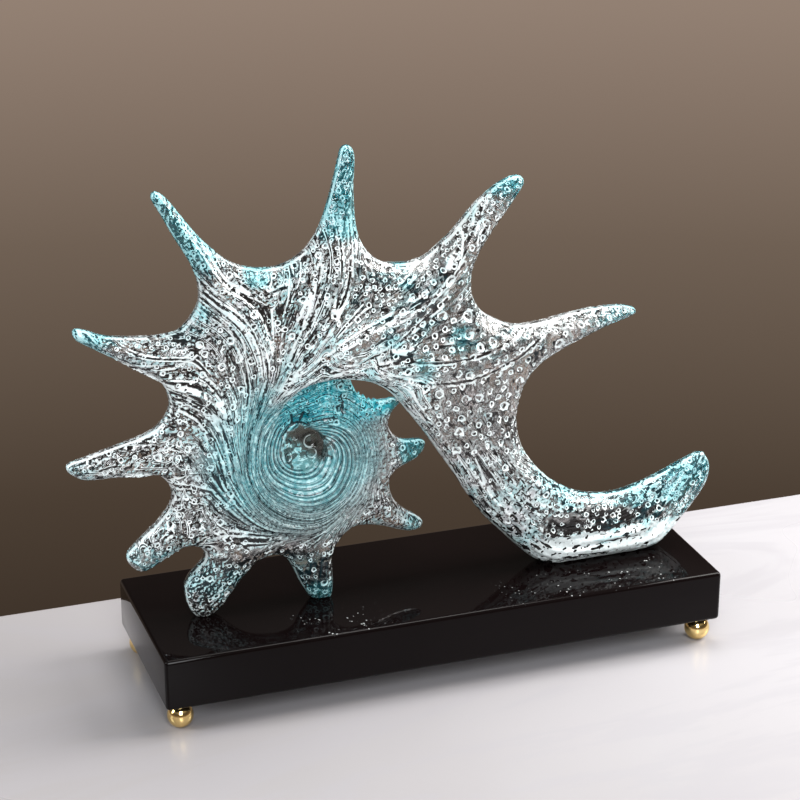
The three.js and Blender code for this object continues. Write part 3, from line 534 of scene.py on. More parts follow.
def drop_bits(me, e, start):
    """Deletes whatever doesn't hang together with vertex start."""
    both = np.concatenate([e, e[:, ::-1]])
    both = both[np.argsort(both[:, 0], kind="stable")]
    first = np.searchsorted(both[:, 0], np.arange(len(me.vertices) + 1))
    seen = np.zeros(len(me.vertices), bool)
    seen[start] = True
    newest = np.array([start])
    while len(newest):
        near = np.unique(np.concatenate([both[first[i]:first[i + 1], 1] for i in newest]))
        newest = near[~seen[near]]
        seen[newest] = True
    loose = np.nonzero(~seen)[0]
    if len(loose):
        import bmesh
        bm = bmesh.new()
        bm.from_mesh(me)
        bm.verts.ensure_lookup_table()
        bmesh.ops.delete(bm, geom=[bm.verts[int(i)] for i in loose], context="VERTS")
        bm.to_mesh(me)
        bm.free()


VOXEL = 0.85
GROOVES = 13
SCREW_SPOTS = [(104, -2), (146, -2)]
DOWEL_SPOTS = [(-131, -6), (-52.5, -6)]


def build_casting():
    import bmesh
    ax, az, am, ah, aloop = disc_grid()
    bx, bz, bm, bh, bloop, bk, bw = arm_grid()
    va, fa = grid_mesh(ax, az, am, ah, True)
    vb, fb = grid_mesh(bx, bz, bm, bh, False)
    vw, fw = window_mesh()
    raw = new_mesh("raw", np.concatenate([va, vb, vw]), np.concatenate([fa, fb + len(va), fw + len(va) + len(vb)]))
    mod = raw.modifiers.new("r", "REMESH")
    mod.mode = "VOXEL"
    mod.voxel_size = VOXEL
    dg = bpy.context.evaluated_depsgraph_get()
    me = bpy.data.meshes.new_from_object(raw.evaluated_get(dg))
    bpy.data.objects.remove(raw)
    c = relax(coords(me), edges_of(me), 4)
    c[:, 2] = np.maximum(c[:, 2], TOP + 0.3)
    set_coords(me, c)
    me = drill(me, [(x, y, 3.9, 0, TOP + 12) for x, y in SCREW_SPOTS] + [(x, y, 1.8, 0, TOP + 8.6) for x, y in DOWEL_SPOTS])

    # finer faces where the fine grooves wind round the eye
    mesh_edit = bmesh.new()
    mesh_edit.from_mesh(me)
    mesh_edit.normal_update()
    sel = set()
    for f in mesh_edit.faces:
        p = f.verts[0].co
        if math.hypot(p.x - EYE_X, p.z - EYE_Z) < 44 and f.normal.y < -0.15 and p.y > -24:
            sel.update(f.edges)
    bmesh.ops.subdivide_edges(mesh_edit, edges=list(sel), cuts=1, use_grid_fill=True)
    mesh_edit.to_mesh(me)
    mesh_edit.free()
    me.update()

    c = coords(me)
    e = edges_of(me)
    n = normals(me)
    N = len(c)

    # which shell a vertex belongs to, and its place along and across the arm
    ka, kb = kd_of(va), kd_of(vb)
    K, M = bx.shape
    rim = np.zeros((K, M), bool)
    rim[:, 0] = rim[:, -1] = True
    rim[0] = rim[-1] = True
    kk = np.repeat(bk, M)
    ww = np.tile(bw, K)
    kk = np.concatenate([kk, kk[~rim.ravel()]])
    ww = np.concatenate([ww, ww[~rim.ravel()]])
    da, db = np.empty(N), np.empty(N)
    nb = np.empty(N, int)
    for i in range(N):
        p = c[i]
        da[i] = ka.find(p)[2]
        near = kb.find(p)
        nb[i], db[i] = near[1], near[2]
    ks = spread(kk[nb], e, N, 6)
    ws = spread(ww[nb], e, N, 6)
    arc_mid = np.concatenate([[0], np.cumsum(np.hypot(np.diff(bx[:, 12]), np.diff(bz[:, 12])))])
    width = np.hypot(bx[:, -1] - bx[:, 0], bz[:, -1] - bz[:, 0])
    sa = np.interp(ks, bk, arc_mid)
    sc = ws * np.interp(ks, bk, np.convolve(np.pad(width, 30, "edge"), np.ones(61) / 61, "valid"))
    on_arm = spread(smooth(-0.8, 0.8, da - db), e, N, 3)

    x, y, z = c[:, 0], c[:, 1], c[:, 2]
    r = np.hypot(x - EYE_X, z - EYE_Z)
    th = np.arctan2(z - EYE_Z, x - EYE_X)
    change = stream_field()
    tw = th - twist(r) - fan(th, r) + stream_turn(change, x, z)
    aside = [plain_turn(x + a, z + b) + stream_turn(change, x + a, z + b) for a, b in ((1.0, 0), (0, 1.0))]
    slope = [(t - tw + np.pi) % (2 * np.pi) - np.pi for t in aside]
    spacing = 1 / np.maximum(np.hypot(*slope), 0.002)
    front = smooth(-0.25, 0.25, -n[:, 1])
    deg = np.degrees(th) % 360
    bay = table(BAY_RADIUS, np.where(deg < 88, deg + 360, deg))
    edge_a = edge_distance(c[:, [0, 2]], aloop)
    edge_b = edge_distance(c[:, [0, 2]], bloop)
    edge = np.where(on_arm > 0.5, edge_b, edge_a)
    strip = on_arm * np.maximum(smooth(27, 18, ks), smooth(0.27, 0.12, ws) * smooth(84, 78, ks)) * (1 - smooth(50, 40, r) * smooth(95, 135, deg))

    # flow lines: broad ridges over the body, fine grooves round the eye
    flow = np.stack([np.cos(tw), np.sin(tw), np.log(np.maximum(r, 8))], 1)
    arm = np.stack([sa, sc, strip], 1)
    low = fbm(flow * [3.2, 3.2, 0.9])
    low2 = fbm(flow * [8.0, 8.0, 1.3] + [5.0, 1.0, 9.0])
    low3 = fbm(flow * [20.0, 20.0, 2.5] + [2.0, 8.0, 1.0], 1)
    armn = fbm(np.stack([sa * 0.012, sc * 0.13, y * 0.02], 1))
    armn2 = fbm(np.stack([sa * 0.02 + 4, sc * 0.3, y * 0.04], 1))
    armn3 = fbm(np.stack([sa * 0.035 + 9, sc * 0.42, y * 0.05], 1), 1)
    swirl = (low * 1.3 + low2 * 1.0) * (1 - strip) + (armn * 1.4 + armn2 * 0.8) * strip
    reach = smooth(2.0, 9.0, edge) * smooth(24, 50, r)
    h = swirl * 1.25 * reach + 0.36 * (low3 * (1 - strip) + armn3 * strip) * smooth(1.5, 5, edge) * smooth(24, 40, r)
    wander = fbm(np.stack([x * 0.045, z * 0.045, 0 * x + 3.0], 1))
    wander2 = fbm(flow * [1.6, 1.6, 3.0] + [3.0, 1.0, 2.0])
    phase = GROOVES * tw + 1.5 * wander + 2.2 * wander2
    finer = smooth(39, 46, r)
    wave = np.cos(phase) * (1 - finer) + np.cos(2 * phase) * finer * 0.75
    groove = (0.5 + 0.5 * wave) ** 0.8
    crease = np.exp(-(line_distance(c[:, [0, 2]], CREASES) / 1.1) ** 2) * front * (1 - on_arm)
    depth = 0.85 + 0.50 * fbm(np.stack([np.cos(th) * 3, np.sin(th) * 3, r * 0.22], 1))
    turned_in = smooth(95, 135, deg) * smooth(330, 300, deg)
    inner = (1 - on_arm * (1 - turned_in)) * front * smooth(60, 42, r) * smooth(EYE_A + 1.0, EYE_A + 4, r)
    coil_top = smooth(155, 166, z) * (1 - on_arm) * smooth(-84, -76, x) * smooth(0, -12, x) * smooth(80, 60, r)
    inner *= 1 - coil_top
    h += 1.0 * depth * (groove - 0.5) * inner - 1.5 * crease

    # round pits of burst bubbles, kept out of the grooved funnel
    rng = np.random.default_rng(11)
    order = rng.permutation(N)[:90000]
    size = rng.random(N)
    cell, centres, radii = {}, [], []
    for bx0, bz0, brad in EYE_BUBBLES:
        i = int(np.argmin((x - bx0) ** 2 + (z - bz0) ** 2 + 400 * (front < 0.9)))
        cell.setdefault((int(c[i, 0] // 6), int(c[i, 1] // 6), int(c[i, 2] // 6)), []).append((*c[i], brad))
        centres.append(c[i])
        radii.append(brad)
    crowd = fbm(c * 0.055 + 3.0)
    sparse = (rng.random(N) > 0.42) & (x < -45) & (r > 60)
    clearer = on_arm * smooth(-20, 15, x) * smooth(115, 140, z) * smooth(4, 9, edge)
    for i in order:
        if inner[i] > 0.3 or edge[i] < 0.8 or r[i] < 16 or sparse[i] or size[i] > 0.80 + 0.6 * crowd[i]:
            continue
        p = c[i]
        rad = 1.2 + 1.55 * size[i] ** 1.8 + (0.55 + 0.8 * size[i]) * clearer[i]
        kx, ky, kz = int(p[0] // 6), int(p[1] // 6), int(p[2] // 6)
        free = True
        for dx in (-1, 0, 1):
            for dy in (-1, 0, 1):
                for dz in (-1, 0, 1):
                    for qx, qy, qz, qr in cell.get((kx + dx, ky + dy, kz + dz), ()):
                        gap = (qr + rad) * (1.22 + 0.12 * clearer[i])
                        if (qx - p[0]) ** 2 + (qy - p[1]) ** 2 + (qz - p[2]) ** 2 < gap * gap:
                            free = False
                            break
                    if not free:
                        break
                if not free:
                    break
            if not free:
                break
        if free:
            cell.setdefault((kx, ky, kz), []).append((p[0], p[1], p[2], rad))
            centres.append(p)
            radii.append(rad)
    centres, radii = np.array(centres), np.array(radii)
    chance = rng.random(len(centres))
    kc = kd_of(centres)
    pick = np.empty(N, int)
    for i in range(N):
        near = kc.find_n(c[i], 3)
        pick[i] = min((t[2] / radii[t[1]], t[1]) for t in near)[1]
    pit_to = (c - centres[pick]) / radii[pick][:, None]
    q = np.linalg.norm(pit_to, axis=1)
    prad = radii[pick]
    pit = prad * (-0.30 * np.maximum(0, 1 - q ** 2) + 0.10 * np.exp(-((q - 1.12) / 0.2) ** 2))
    h += pit * smooth(0.5, 2.5, edge)

    h += 0.10 * fbm(c * 0.45) * smooth(0.5, 3, edge)
    keep = np.ones(N)
    for hx, hy in SCREW_SPOTS + DOWEL_SPOTS:
        near = (np.hypot(x - hx, y - hy) < 5.5) & (z < TOP + 13.5)
        keep[near] = 0
    h *= keep * smooth(TOP + 0.35, TOP + 1.5, z)
    c = c + n * h[:, None]
    teeth = smooth(-30, -28, x) * smooth(-12, -14, x) * (1 - on_arm) * smooth(3.2, 0.6, edge_a) * smooth(164, 168, z) * smooth(60, 40, r)
    c[:, 2] += 2.6 * teeth * np.maximum(0, np.sin(2 * np.pi * (x + 0.6 * np.sin(x)) / 3.3)) ** 1.5
    moved = relax(c, e, 1)
    c = np.where((keep * (z > TOP + 0.31))[:, None] > 0, moved, c)
    c[:, 2] = np.maximum(c[:, 2], TOP + 0.3)
    set_coords(me, c * MM)

    tip = np.zeros(N)
    for tx, tz, reach_mm, strength in TIPS:
        tip = np.maximum(tip, strength * smooth(reach_mm, 0.12 * reach_mm, np.hypot(x - tx, z - tz)) * (1 - on_arm * (tz < 170) * (tx < 60)))
    attribute(me, "flow", "FLOAT_VECTOR", flow)
    attribute(me, "arm", "FLOAT_VECTOR", arm)
    attribute(me, "pit_to", "FLOAT_VECTOR", pit_to)
    attribute(me, "pit", "FLOAT", q)
    attribute(me, "pit_id", "FLOAT", chance[pick])
    attribute(me, "edge", "FLOAT", edge)
    attribute(me, "tip", "FLOAT", tip)
    attribute(me, "from_eye", "FLOAT", r)
    attribute(me, "on_arm", "FLOAT", on_arm)
    attribute(me, "front", "FLOAT", front)
    attribute(me, "inner", "FLOAT", inner)
    attribute(me, "groove", "FLOAT", wave)
    attribute(me, "coil_top", "FLOAT", coil_top)
    attribute(me, "crease", "FLOAT", crease)
    attribute(me, "station", "FLOAT", ks)
    attribute(me, "spacing", "FLOAT", spacing)
    attribute(me, "stream", "FLOAT", line_distance(np.stack([x, z], 1), STREAMS))
    drop_bits(me, e, int(np.argmax(c[:, 2])))
    me.polygons.foreach_set("use_smooth", np.ones(len(me.polygons), bool))
    ob = bpy.data.objects.new("casting_detail", me)
    bpy.context.scene.collection.objects.link(ob)
    me.name = "casting_detail"
    return ob


# ------------------------------------------------------------------ materials
class Nodes:
    """Short names for the nodes that the materials below are made of."""

    def __init__(self, name):
        self.mat = bpy.data.materials.new(name)
        self.mat.use_nodes = True
        self.t = self.mat.node_tree
        self.t.nodes.clear()
        self.out = self.t.nodes.new("ShaderNodeOutputMaterial")
        self.bsdf = self.t.nodes.new("ShaderNodeBsdfPrincipled")
        self.t.links.new(self.bsdf.outputs[0], self.out.inputs[0])

    def put(self, socket, v):
        if isinstance(v, bpy.types.NodeSocket):
            self.t.links.new(v, socket)
        elif v is not None:
            socket.default_value = v

    def set(self, **kw):
        for k, v in kw.items():
            s = self.bsdf.inputs[k.replace("_", " ")]
            if isinstance(v, tuple) and len(v) == 3 and s.type == "RGBA":
                v = (*v, 1)
            self.put(s, v)

    def math(self, op, a, b=None, c=None, clamp=False):
        n = self.t.nodes.new("ShaderNodeMath")
        n.operation = op
        n.use_clamp = clamp
        for i, v in enumerate((a, b, c)):
            if v is not None:
                self.put(n.inputs[i], v)
        return n.outputs[0]

    def add(self, a, b):
        return self.math("ADD", a, b)

    def mul(self, *v):
        out = v[0]
        for w in v[1:]:
            out = self.math("MULTIPLY", out, w)
        return out

    def sub(self, a, b):
        return self.math("SUBTRACT", a, b)

    def most(self, a, b):
        return self.math("MAXIMUM", a, b)

    def inv(self, a):
        return self.math("SUBTRACT", 1.0, a)

    def step(self, v, lo, hi, a=0.0, b=1.0):
        """Smooth change from a to b while v goes from lo to hi."""
        n = self.t.nodes.new("ShaderNodeMapRange")
        n.interpolation_type = "SMOOTHSTEP"
        if lo > hi:
            lo, hi, a, b = hi, lo, b, a
        self.put(n.inputs["Value"], v)
        for k, x in (("From Min", lo), ("From Max", hi), ("To Min", a), ("To Max", b)):
            n.inputs[k].default_value = x
        return n.outputs[0]

    def band(self, v, a, b, c, d):
        return self.mul(self.step(v, a, b), self.step(v, d, c))

    def mix(self, f, a, b):
        n = self.t.nodes.new("ShaderNodeMix")
        n.data_type = "RGBA"
        self.put(n.inputs[0], f)
        for s, v in ((n.inputs[6], a), (n.inputs[7], b)):
            self.put(s, (*v, 1) if isinstance(v, tuple) and len(v) == 3 else v)
        return n.outputs[2]

    def mixf(self, f, a, b):
        n = self.t.nodes.new("ShaderNodeMix")
        n.data_type = "FLOAT"
        self.put(n.inputs[0], f)
        self.put(n.inputs[2], a)
        self.put(n.inputs[3], b)
        return n.outputs[0]

    def mixv(self, f, a, b):
        n = self.t.nodes.new("ShaderNodeMix")
        n.data_type = "VECTOR"
        self.put(n.inputs[0], f)
        self.put(n.inputs[4], a)
        self.put(n.inputs[5], b)
        return n.outputs[1]

    def vec(self, op, a, b):
        n = self.t.nodes.new("ShaderNodeVectorMath")
        n.operation = op
        self.put(n.inputs[0], a)
        self.put(n.inputs[1], b)
        return n.outputs[0]

    def split(self, v):
        n = self.t.nodes.new("ShaderNodeSeparateXYZ")
        self.put(n.inputs[0], v)
        return n.outputs

    def join(self, x, y, z):
        n = self.t.nodes.new("ShaderNodeCombineXYZ")
        for i, v in enumerate((x, y, z)):
            self.put(n.inputs[i], v)
        return n.outputs[0]

    def attr(self, name, vector=False):
        n = self.t.nodes.new("ShaderNodeAttribute")
        n.attribute_name = name
        return n.outputs["Vector" if vector else "Fac"]

    def place(self):
        return self.t.nodes.new("ShaderNodeTexCoord").outputs["Object"]

    def noise(self, v, scale, detail=2.0, rough=0.5, warp=0.0, colour=False):
        n = self.t.nodes.new("ShaderNodeTexNoise")
        self.put(n.inputs["Vector"], v)
        n.inputs["Scale"].default_value = scale
        n.inputs["Detail"].default_value = detail
        n.inputs["Roughness"].default_value = rough
        n.inputs["Distortion"].default_value = warp
        return n.outputs["Color" if colour else "Fac"]

    def cells(self, v, scale, feature="F1", rand=1.0, out="Distance"):
        n = self.t.nodes.new("ShaderNodeTexVoronoi")
        n.feature = feature
        self.put(n.inputs["Vector"], v)
        n.inputs["Scale"].default_value = scale
        n.inputs["Randomness"].default_value = rand
        return n.outputs[out]

    def bump(self, height, strength, distance, normal=None):
        n = self.t.nodes.new("ShaderNodeBump")
        n.inputs["Strength"].default_value = strength
        n.inputs["Distance"].default_value = distance
        self.put(n.inputs["Height"], height)
        if normal is not None:
            self.put(n.inputs["Normal"], normal)
        return n.outputs[0]


def casting_material():
    g = Nodes("clear_casting")
    P = g.place()
    px, py, pz = g.split(P)
    mmP = g.vec("MULTIPLY", P, (1000.0, 1000.0, 1000.0))
    flow = g.attr("flow", True)
    s_mm, w_mm, strip = g.split(g.attr("arm", True))
    fx, fy, fl = g.split(flow)
    pit_to = g.attr("pit_to", True)
    pid = g.attr("pit_id")
    edge = g.attr("edge")
    tip = g.attr("tip")
    r = g.attr("from_eye")
    front = g.attr("front")
    on_arm = g.attr("on_arm")
    inner = g.attr("inner")
    coil_top = g.attr("coil_top")
    crease = g.attr("crease")
    groove_pos = g.attr("groove")
    ln = g.t.nodes.new("ShaderNodeVectorMath")
    ln.operation = "LENGTH"
    g.put(ln.inputs[0], pit_to)
    q = g.most(ln.outputs["Value"], g.sub(g.attr("pit"), 0.2))

    # coordinates that run along the flow: fine across it, long along it
    turn = g.step(r, 55, 25, 0.017, 0.045)
    fx2, fy2 = g.sub(fx, g.mul(fy, turn)), g.add(fy, g.mul(fx, turn))

    def on_disc(a, b, seed, aside=False):
        u, v = (fx2, fy2) if aside else (fx, fy)
        return g.join(g.mul(u, a), g.mul(v, a), g.add(g.mul(fl, b), seed))

    def on_strip(sa, sb, seed, aside=False):
        return g.join(g.mul(s_mm, sa), g.add(g.mul(w_mm, sb), seed + (0.85 * sb if aside else 0.0)), 0.5)

    outer = g.step(r, 68, 100)
    wide_apart = g.step(g.attr("spacing"), 125, 210)
    flank = g.band(front, 0.02, 0.30, 0.70, 0.98)
    very_wide = g.most(g.step(g.attr("spacing"), 210, 340), flank)
    close = g.step(r, 52, 34)

    def drawn(near, far, along, seed, detail=1.0, aside=False):
        out = g.noise(on_disc(*near, seed, aside), 1.0, detail, 0.5)
        out = g.mixf(outer, out, g.noise(on_disc(*far, seed, aside), 1.0, detail, 0.5))
        out = g.mixf(wide_apart, out, g.noise(on_disc(far[0] * 2.1, far[1] * 1.5, seed, aside), 1.0, detail, 0.5))
        out = g.mixf(close, out, g.noise(on_disc(near[0] * 0.42, near[1] * 0.7, seed, aside), 1.0, detail, 0.5))
        shift = (seed + (0.7 if aside else 0.0), seed, seed * 2.0)
        out = g.mixf(very_wide, out, g.noise(g.vec("ADD", mmP, shift), 0.36, detail, 0.5))
        return g.mixf(strip, out, g.noise(on_strip(*along, seed, aside), 1.0, detail, 0.5))

    def plain_drawn(a, b, sa, sb, seed, detail, rough):
        out = g.mixf(wide_apart, g.noise(on_disc(a, b, seed), 1.0, detail, rough), g.noise(on_disc(a * 2.4, b * 1.5, seed), 1.0, detail, rough))
        out = g.mixf(very_wide, out, g.noise(g.vec("ADD", mmP, (seed, seed, seed)), 0.06, detail, rough))
        return g.mixf(strip, out, g.noise(on_strip(sa, sb, seed), 1.0, detail, rough))

    broad = plain_drawn(5.0, 1.3, 0.012, 0.10, 3.0, 2.0, 0.55)
    lines = drawn((15.0, 1.6), (28.0, 2.4), (0.014, 0.28), 11.0)
    fine = drawn((26.0, 5.0), (52.0, 12.0), (0.07, 0.50), 23.0)
    slits = drawn((24.0, 6.0), (46.0, 16.0), (0.13, 0.46), 37.0, 0.5)
    # painted light and shade: the slits minus a copy shifted across the flow, pale on one side and dark on the other
    drawn_emboss_light_shade = g.sub(slits, drawn((24.0, 6.0), (46.0, 16.0), (0.13, 0.46), 37.0, 0.5, True))
    patch = g.noise(P, 26.0, 2.0, 0.5)
    patch2 = g.noise(g.vec("ADD", P, (0.7, 0.3, 0.1)), 34.0, 2.0, 0.5)
    some_way = g.noise(g.vec("ADD", P, (0.2, 0.9, 0.4)), 70.0, 1.0)
    fleck = g.noise(mmP, 0.30, 1.3, 0.5, 0.5)
    speck = g.noise(g.vec("ADD", mmP, (31.0, 7.0, 3.0)), 0.50, 0.8)
    grain = g.noise(g.vec("ADD", mmP, (5.0, 17.0, 13.0)), 0.40, 1.0)
    # painted light and shade: the specks minus a copy shifted up and to the left, pale on one side of each speck and
    # dark on the other; on the foot the same is made from a larger noise
    aside = g.noise(g.vec("ADD", mmP, (31.0 - 0.62, 7.0, 3.0 + 0.62)), 0.50, 0.8)
    painted_emboss_light_shade = g.sub(speck, aside)
    big = g.noise(g.vec("ADD", mmP, (2.0, 27.0, 43.0)), 0.30, 0.8, 0.5, 0.4)
    big_aside = g.noise(g.vec("ADD", mmP, (2.0 - 0.9, 27.0, 43.0 + 0.9)), 0.30, 0.8, 0.5, 0.4)
    on_foot = g.mul(on_arm, g.step(px, 0.03, 0.07), g.step(pz, 0.125, 0.105))
    painted_emboss_light_shade = g.mixf(g.mul(on_foot, 0.7), painted_emboss_light_shade, g.mul(g.sub(big, big_aside), 1.05))

    pleat = plain_drawn(4.0, 0.35, 0.006, 0.085, 71.0, 0.0, 0.5)

    # where the casting is full of white flecks, and where it is clearer
    core = g.step(g.add(r, g.mul(g.sub(g.add(patch2, g.mul(fleck, 0.6)), 0.8), 14.0)), 16.0, 13.0)
    zone = g.add(g.mul(g.sub(broad, 0.5), 1.4), 0.43)
    zone = g.add(zone, g.mul(g.sub(patch, 0.5), 0.9))
    zone = g.add(zone, g.mul(g.step(edge, 7.0, 2.0), 0.06))
    zone = g.sub(zone, g.mul(coil_top, 0.12))
    zone = g.add(zone, g.mul(strip, 0.12))
    on_span = g.mul(g.step(px, -0.075, -0.015), g.step(pz, 0.10, 0.15), g.inv(strip), g.step(r, 48, 58))
    zone = g.sub(zone, g.mul(on_span, 0.40))
    shoulder = g.mul(on_arm, g.step(px, 0.0, 0.03), g.step(pz, 0.125, 0.150), g.step(pz, 0.215, 0.200))
    zone = g.sub(zone, g.mul(shoulder, 0.34))
    low_left = g.mul(g.inv(on_arm), g.step(pz, 0.105, 0.080), g.step(px, -0.02, -0.04))
    zone = g.sub(zone, g.mul(low_left, 0.34))
    lower_side = g.mul(g.inv(on_arm), g.band(pz, 0.085, 0.10, 0.15, 0.17), g.step(px, -0.10, -0.13))
    zone = g.sub(zone, g.mul(lower_side, 0.12))
    root2 = g.mul(g.band(px, -0.01, 0.015, 0.06, 0.08), g.band(pz, 0.225, 0.24, 0.29, 0.30))
    zone = g.sub(zone, g.mul(root2, 0.16))
    high_rim = g.mul(g.step(g.add(edge, g.mul(g.sub(patch, 0.5), 12.0)), 15.0, 6.0), g.step(pz, 0.215, 0.245), g.inv(g.step(tip, 0.02, 0.1)))
    zone = g.sub(zone, g.mul(high_rim, 0.20))
    low_spikes = g.mul(g.inv(on_arm), g.step(pz, 0.090, 0.076))
    zone = g.add(zone, g.mul(low_spikes, 0.06))
    foot_side = g.mul(on_arm, g.band(px, 0.035, 0.05, 0.085, 0.10), g.step(pz, 0.125, 0.11))
    zone = g.add(zone, g.mul(foot_side, 0.14))
    foot = g.mul(on_arm, g.step(px, 0.03, 0.10), g.step(pz, 0.085, 0.064))
    dark_foot = g.mul(on_arm, g.step(px, 0.075, 0.10), g.step(px, 0.185, 0.16),
                      g.band(g.add(pz, g.mul(g.sub(some_way, 0.5), 0.02)), 0.0690, 0.0715, 0.078, 0.088))
    zone = g.add(zone, g.mul(foot, g.step(g.add(pz, g.mul(g.sub(patch, 0.5), 0.01)), 0.0720, 0.0685), 1.7))
    zone = g.sub(zone, g.mul(dark_foot, 0.60))
    zone = g.sub(zone, g.mul(g.inv(front), 0.50))
    low_eye = g.step(g.add(g.add(pz, g.mul(px, 0.7)), g.mul(g.sub(patch2, 0.5), 0.03)), 0.1055, 0.0965)
    bits = g.step(g.add(fleck, g.mul(speck, 0.6)), 0.74, 0.92)
    low_eye = g.mul(low_eye, g.step(g.add(patch2, g.mul(bits, 0.25)), 0.46, 0.60, 0.25, 1.0))
    zone = g.sub(zone, g.mul(on_arm, g.step(px, 0.155, 0.175), 0.16))
    zone = g.mixf(core, zone, g.mul(low_eye, 0.52))
    zone = g.math("MINIMUM", g.most(zone, -0.1), 1.1)

    small_spikes = g.mul(g.inv(on_arm), g.step(px, -0.032, -0.014), g.step(pz, 0.175, 0.165))
    blotchy = g.most(small_spikes, g.mul(g.inv(on_arm), g.step(pz, 0.102, 0.084)))
    lev = g.add(g.mul(g.sub(fleck, 0.5), g.mixf(blotchy, 0.95, 1.35)),
                g.add(g.mul(g.sub(fine, 0.5), g.mixf(blotchy, 0.35, 0.08)), g.mul(g.sub(lines, 0.5), g.mixf(blotchy, 0.65, 0.08))))
    lev = g.add(g.sub(lev, 0.50), g.mul(zone, 0.92))
    white = g.step(lev, -0.015, 0.02)
    outline = g.mul(g.band(lev, -0.085, -0.070, -0.035, -0.015), g.step(some_way, 0.50, 0.56))

    # painted highlight and shade: pale strokes beside dark ones, as on the lit and the shaded side of a small bubble
    busy = g.mul(g.inv(g.mul(on_span, 0.75)), g.inv(g.mul(dark_foot, 0.6)), g.inv(g.mul(shoulder, 0.5)), g.step(g.add(zone, g.mul(g.sub(fleck, 0.5), 0.6)), 0.02, 0.22), g.inv(core))
    foot_white = g.mul(foot, g.step(g.add(pz, g.mul(g.sub(patch, 0.5), 0.01)), 0.0710, 0.0680))
    coil_side = g.mul(g.inv(on_arm), g.step(px, -0.045, -0.028), g.step(pz, 0.175, 0.165))
    near_flow = g.mul(g.inv(g.mul(coil_side, 0.9)), g.most(g.step(r, 92, 62), g.mul(strip, 0.7, g.inv(on_foot))), g.inv(shoulder))
    zone = g.add(zone, g.mul(coil_side, 0.06))
    strokes = g.add(g.mul(painted_emboss_light_shade, g.mixf(near_flow, 1.0, 0.35)), g.mul(drawn_emboss_light_shade, g.mixf(near_flow, g.mixf(wide_apart, 0.60, 0.35), 1.1), g.inv(g.mul(blotchy, 0.85))))
    painted_lit_stroke = g.mul(g.step(strokes, 0.070, 0.100), g.mixf(busy, 0.15, 1.0), g.inv(core))
    painted_shaded_stroke = g.mul(g.step(g.add(strokes, g.mul(foot_white, 0.05)), -0.088, -0.118), g.mixf(busy, 0.10, 1.0), g.step(some_way, 0.30, 0.40))
    dark_slit = g.mul(g.step(slits, 0.635, 0.66), g.inv(g.mul(blotchy, 0.9)))

    # long lines along the flow: a dark one between two pale ones
    away = g.math("PINGPONG", g.mul(pleat, 6.0), 0.5)
    line_on = g.most(g.most(g.step(r, 70, 50), g.mul(strip, g.inv(on_foot))), g.step(g.noise(P, 42.0, 1.0), 0.40, 0.48))
    line_on = g.mul(line_on, g.inv(core), g.inv(coil_top), g.inv(g.mul(on_foot, 0.8)), g.inv(g.mul(shoulder, 0.9)))
    thread_d = g.mul(g.step(away, 0.075, 0.045), line_on, g.step(slits, 0.36, 0.46))
    thread_w = g.mul(g.band(away, 0.060, 0.085, 0.140, 0.175), line_on, g.step(fleck, 0.36, 0.45))
    away2 = g.math("PINGPONG", g.mul(plain_drawn(9.0, 0.45, 0.010, 0.16, 91.0, 0.0, 0.5), 6.0), 0.5)
    hair_on = g.mul(g.inv(core), g.inv(coil_top), g.inv(g.mul(on_foot, 0.9)), g.inv(g.mul(shoulder, 0.9)), g.step(patch2, 0.42, 0.50))
    thread_w = g.most(thread_w, g.mul(g.band(away2, 0.10, 0.13, 0.20, 0.24), hair_on, g.step(speck, 0.44, 0.54), g.inv(g.mul(on_span, 0.4)), 0.75))
    thread_d = g.most(thread_d, g.mul(g.step(away2, 0.075, 0.050), hair_on, g.step(slits, 0.44, 0.52), 0.85))
    near_on = g.mul(g.most(g.step(r, 66, 46), g.mul(strip, 0.7)), g.inv(core), g.inv(g.mul(shoulder, 0.8)), g.inv(on_foot), g.inv(g.mul(coil_top, 0.7)))
    thread_w = g.most(thread_w, g.mul(g.band(lines, 0.496, 0.504, 0.518, 0.526), near_on))
    thread_d = g.most(thread_d, g.mul(g.band(lines, 0.462, 0.472, 0.486, 0.496), near_on))

    # the longest streaks, each a dark line with a paler band beside it
    st = g.add(g.attr("stream"), g.mul(g.sub(fleck, 0.5), 1.3))
    st_on = g.mul(g.inv(core), g.inv(g.mul(flank, 0.8)), g.inv(coil_top), g.step(r, 36, 46))
    thread_d = g.most(thread_d, g.mul(g.step(st, 0.75, 0.40), st_on, g.step(slits, 0.36, 0.44)))
    thread_w = g.most(thread_w, g.mul(g.band(st, 0.70, 1.0, 2.0, 2.7), st_on, g.step(g.add(fine, g.mul(speck, 0.5)), 0.68, 0.80), 0.9))

    thread_w = g.mul(thread_w, g.inv(g.mul(blotchy, 0.9)))
    thread_d = g.mul(thread_d, g.inv(g.mul(blotchy, 0.9)))

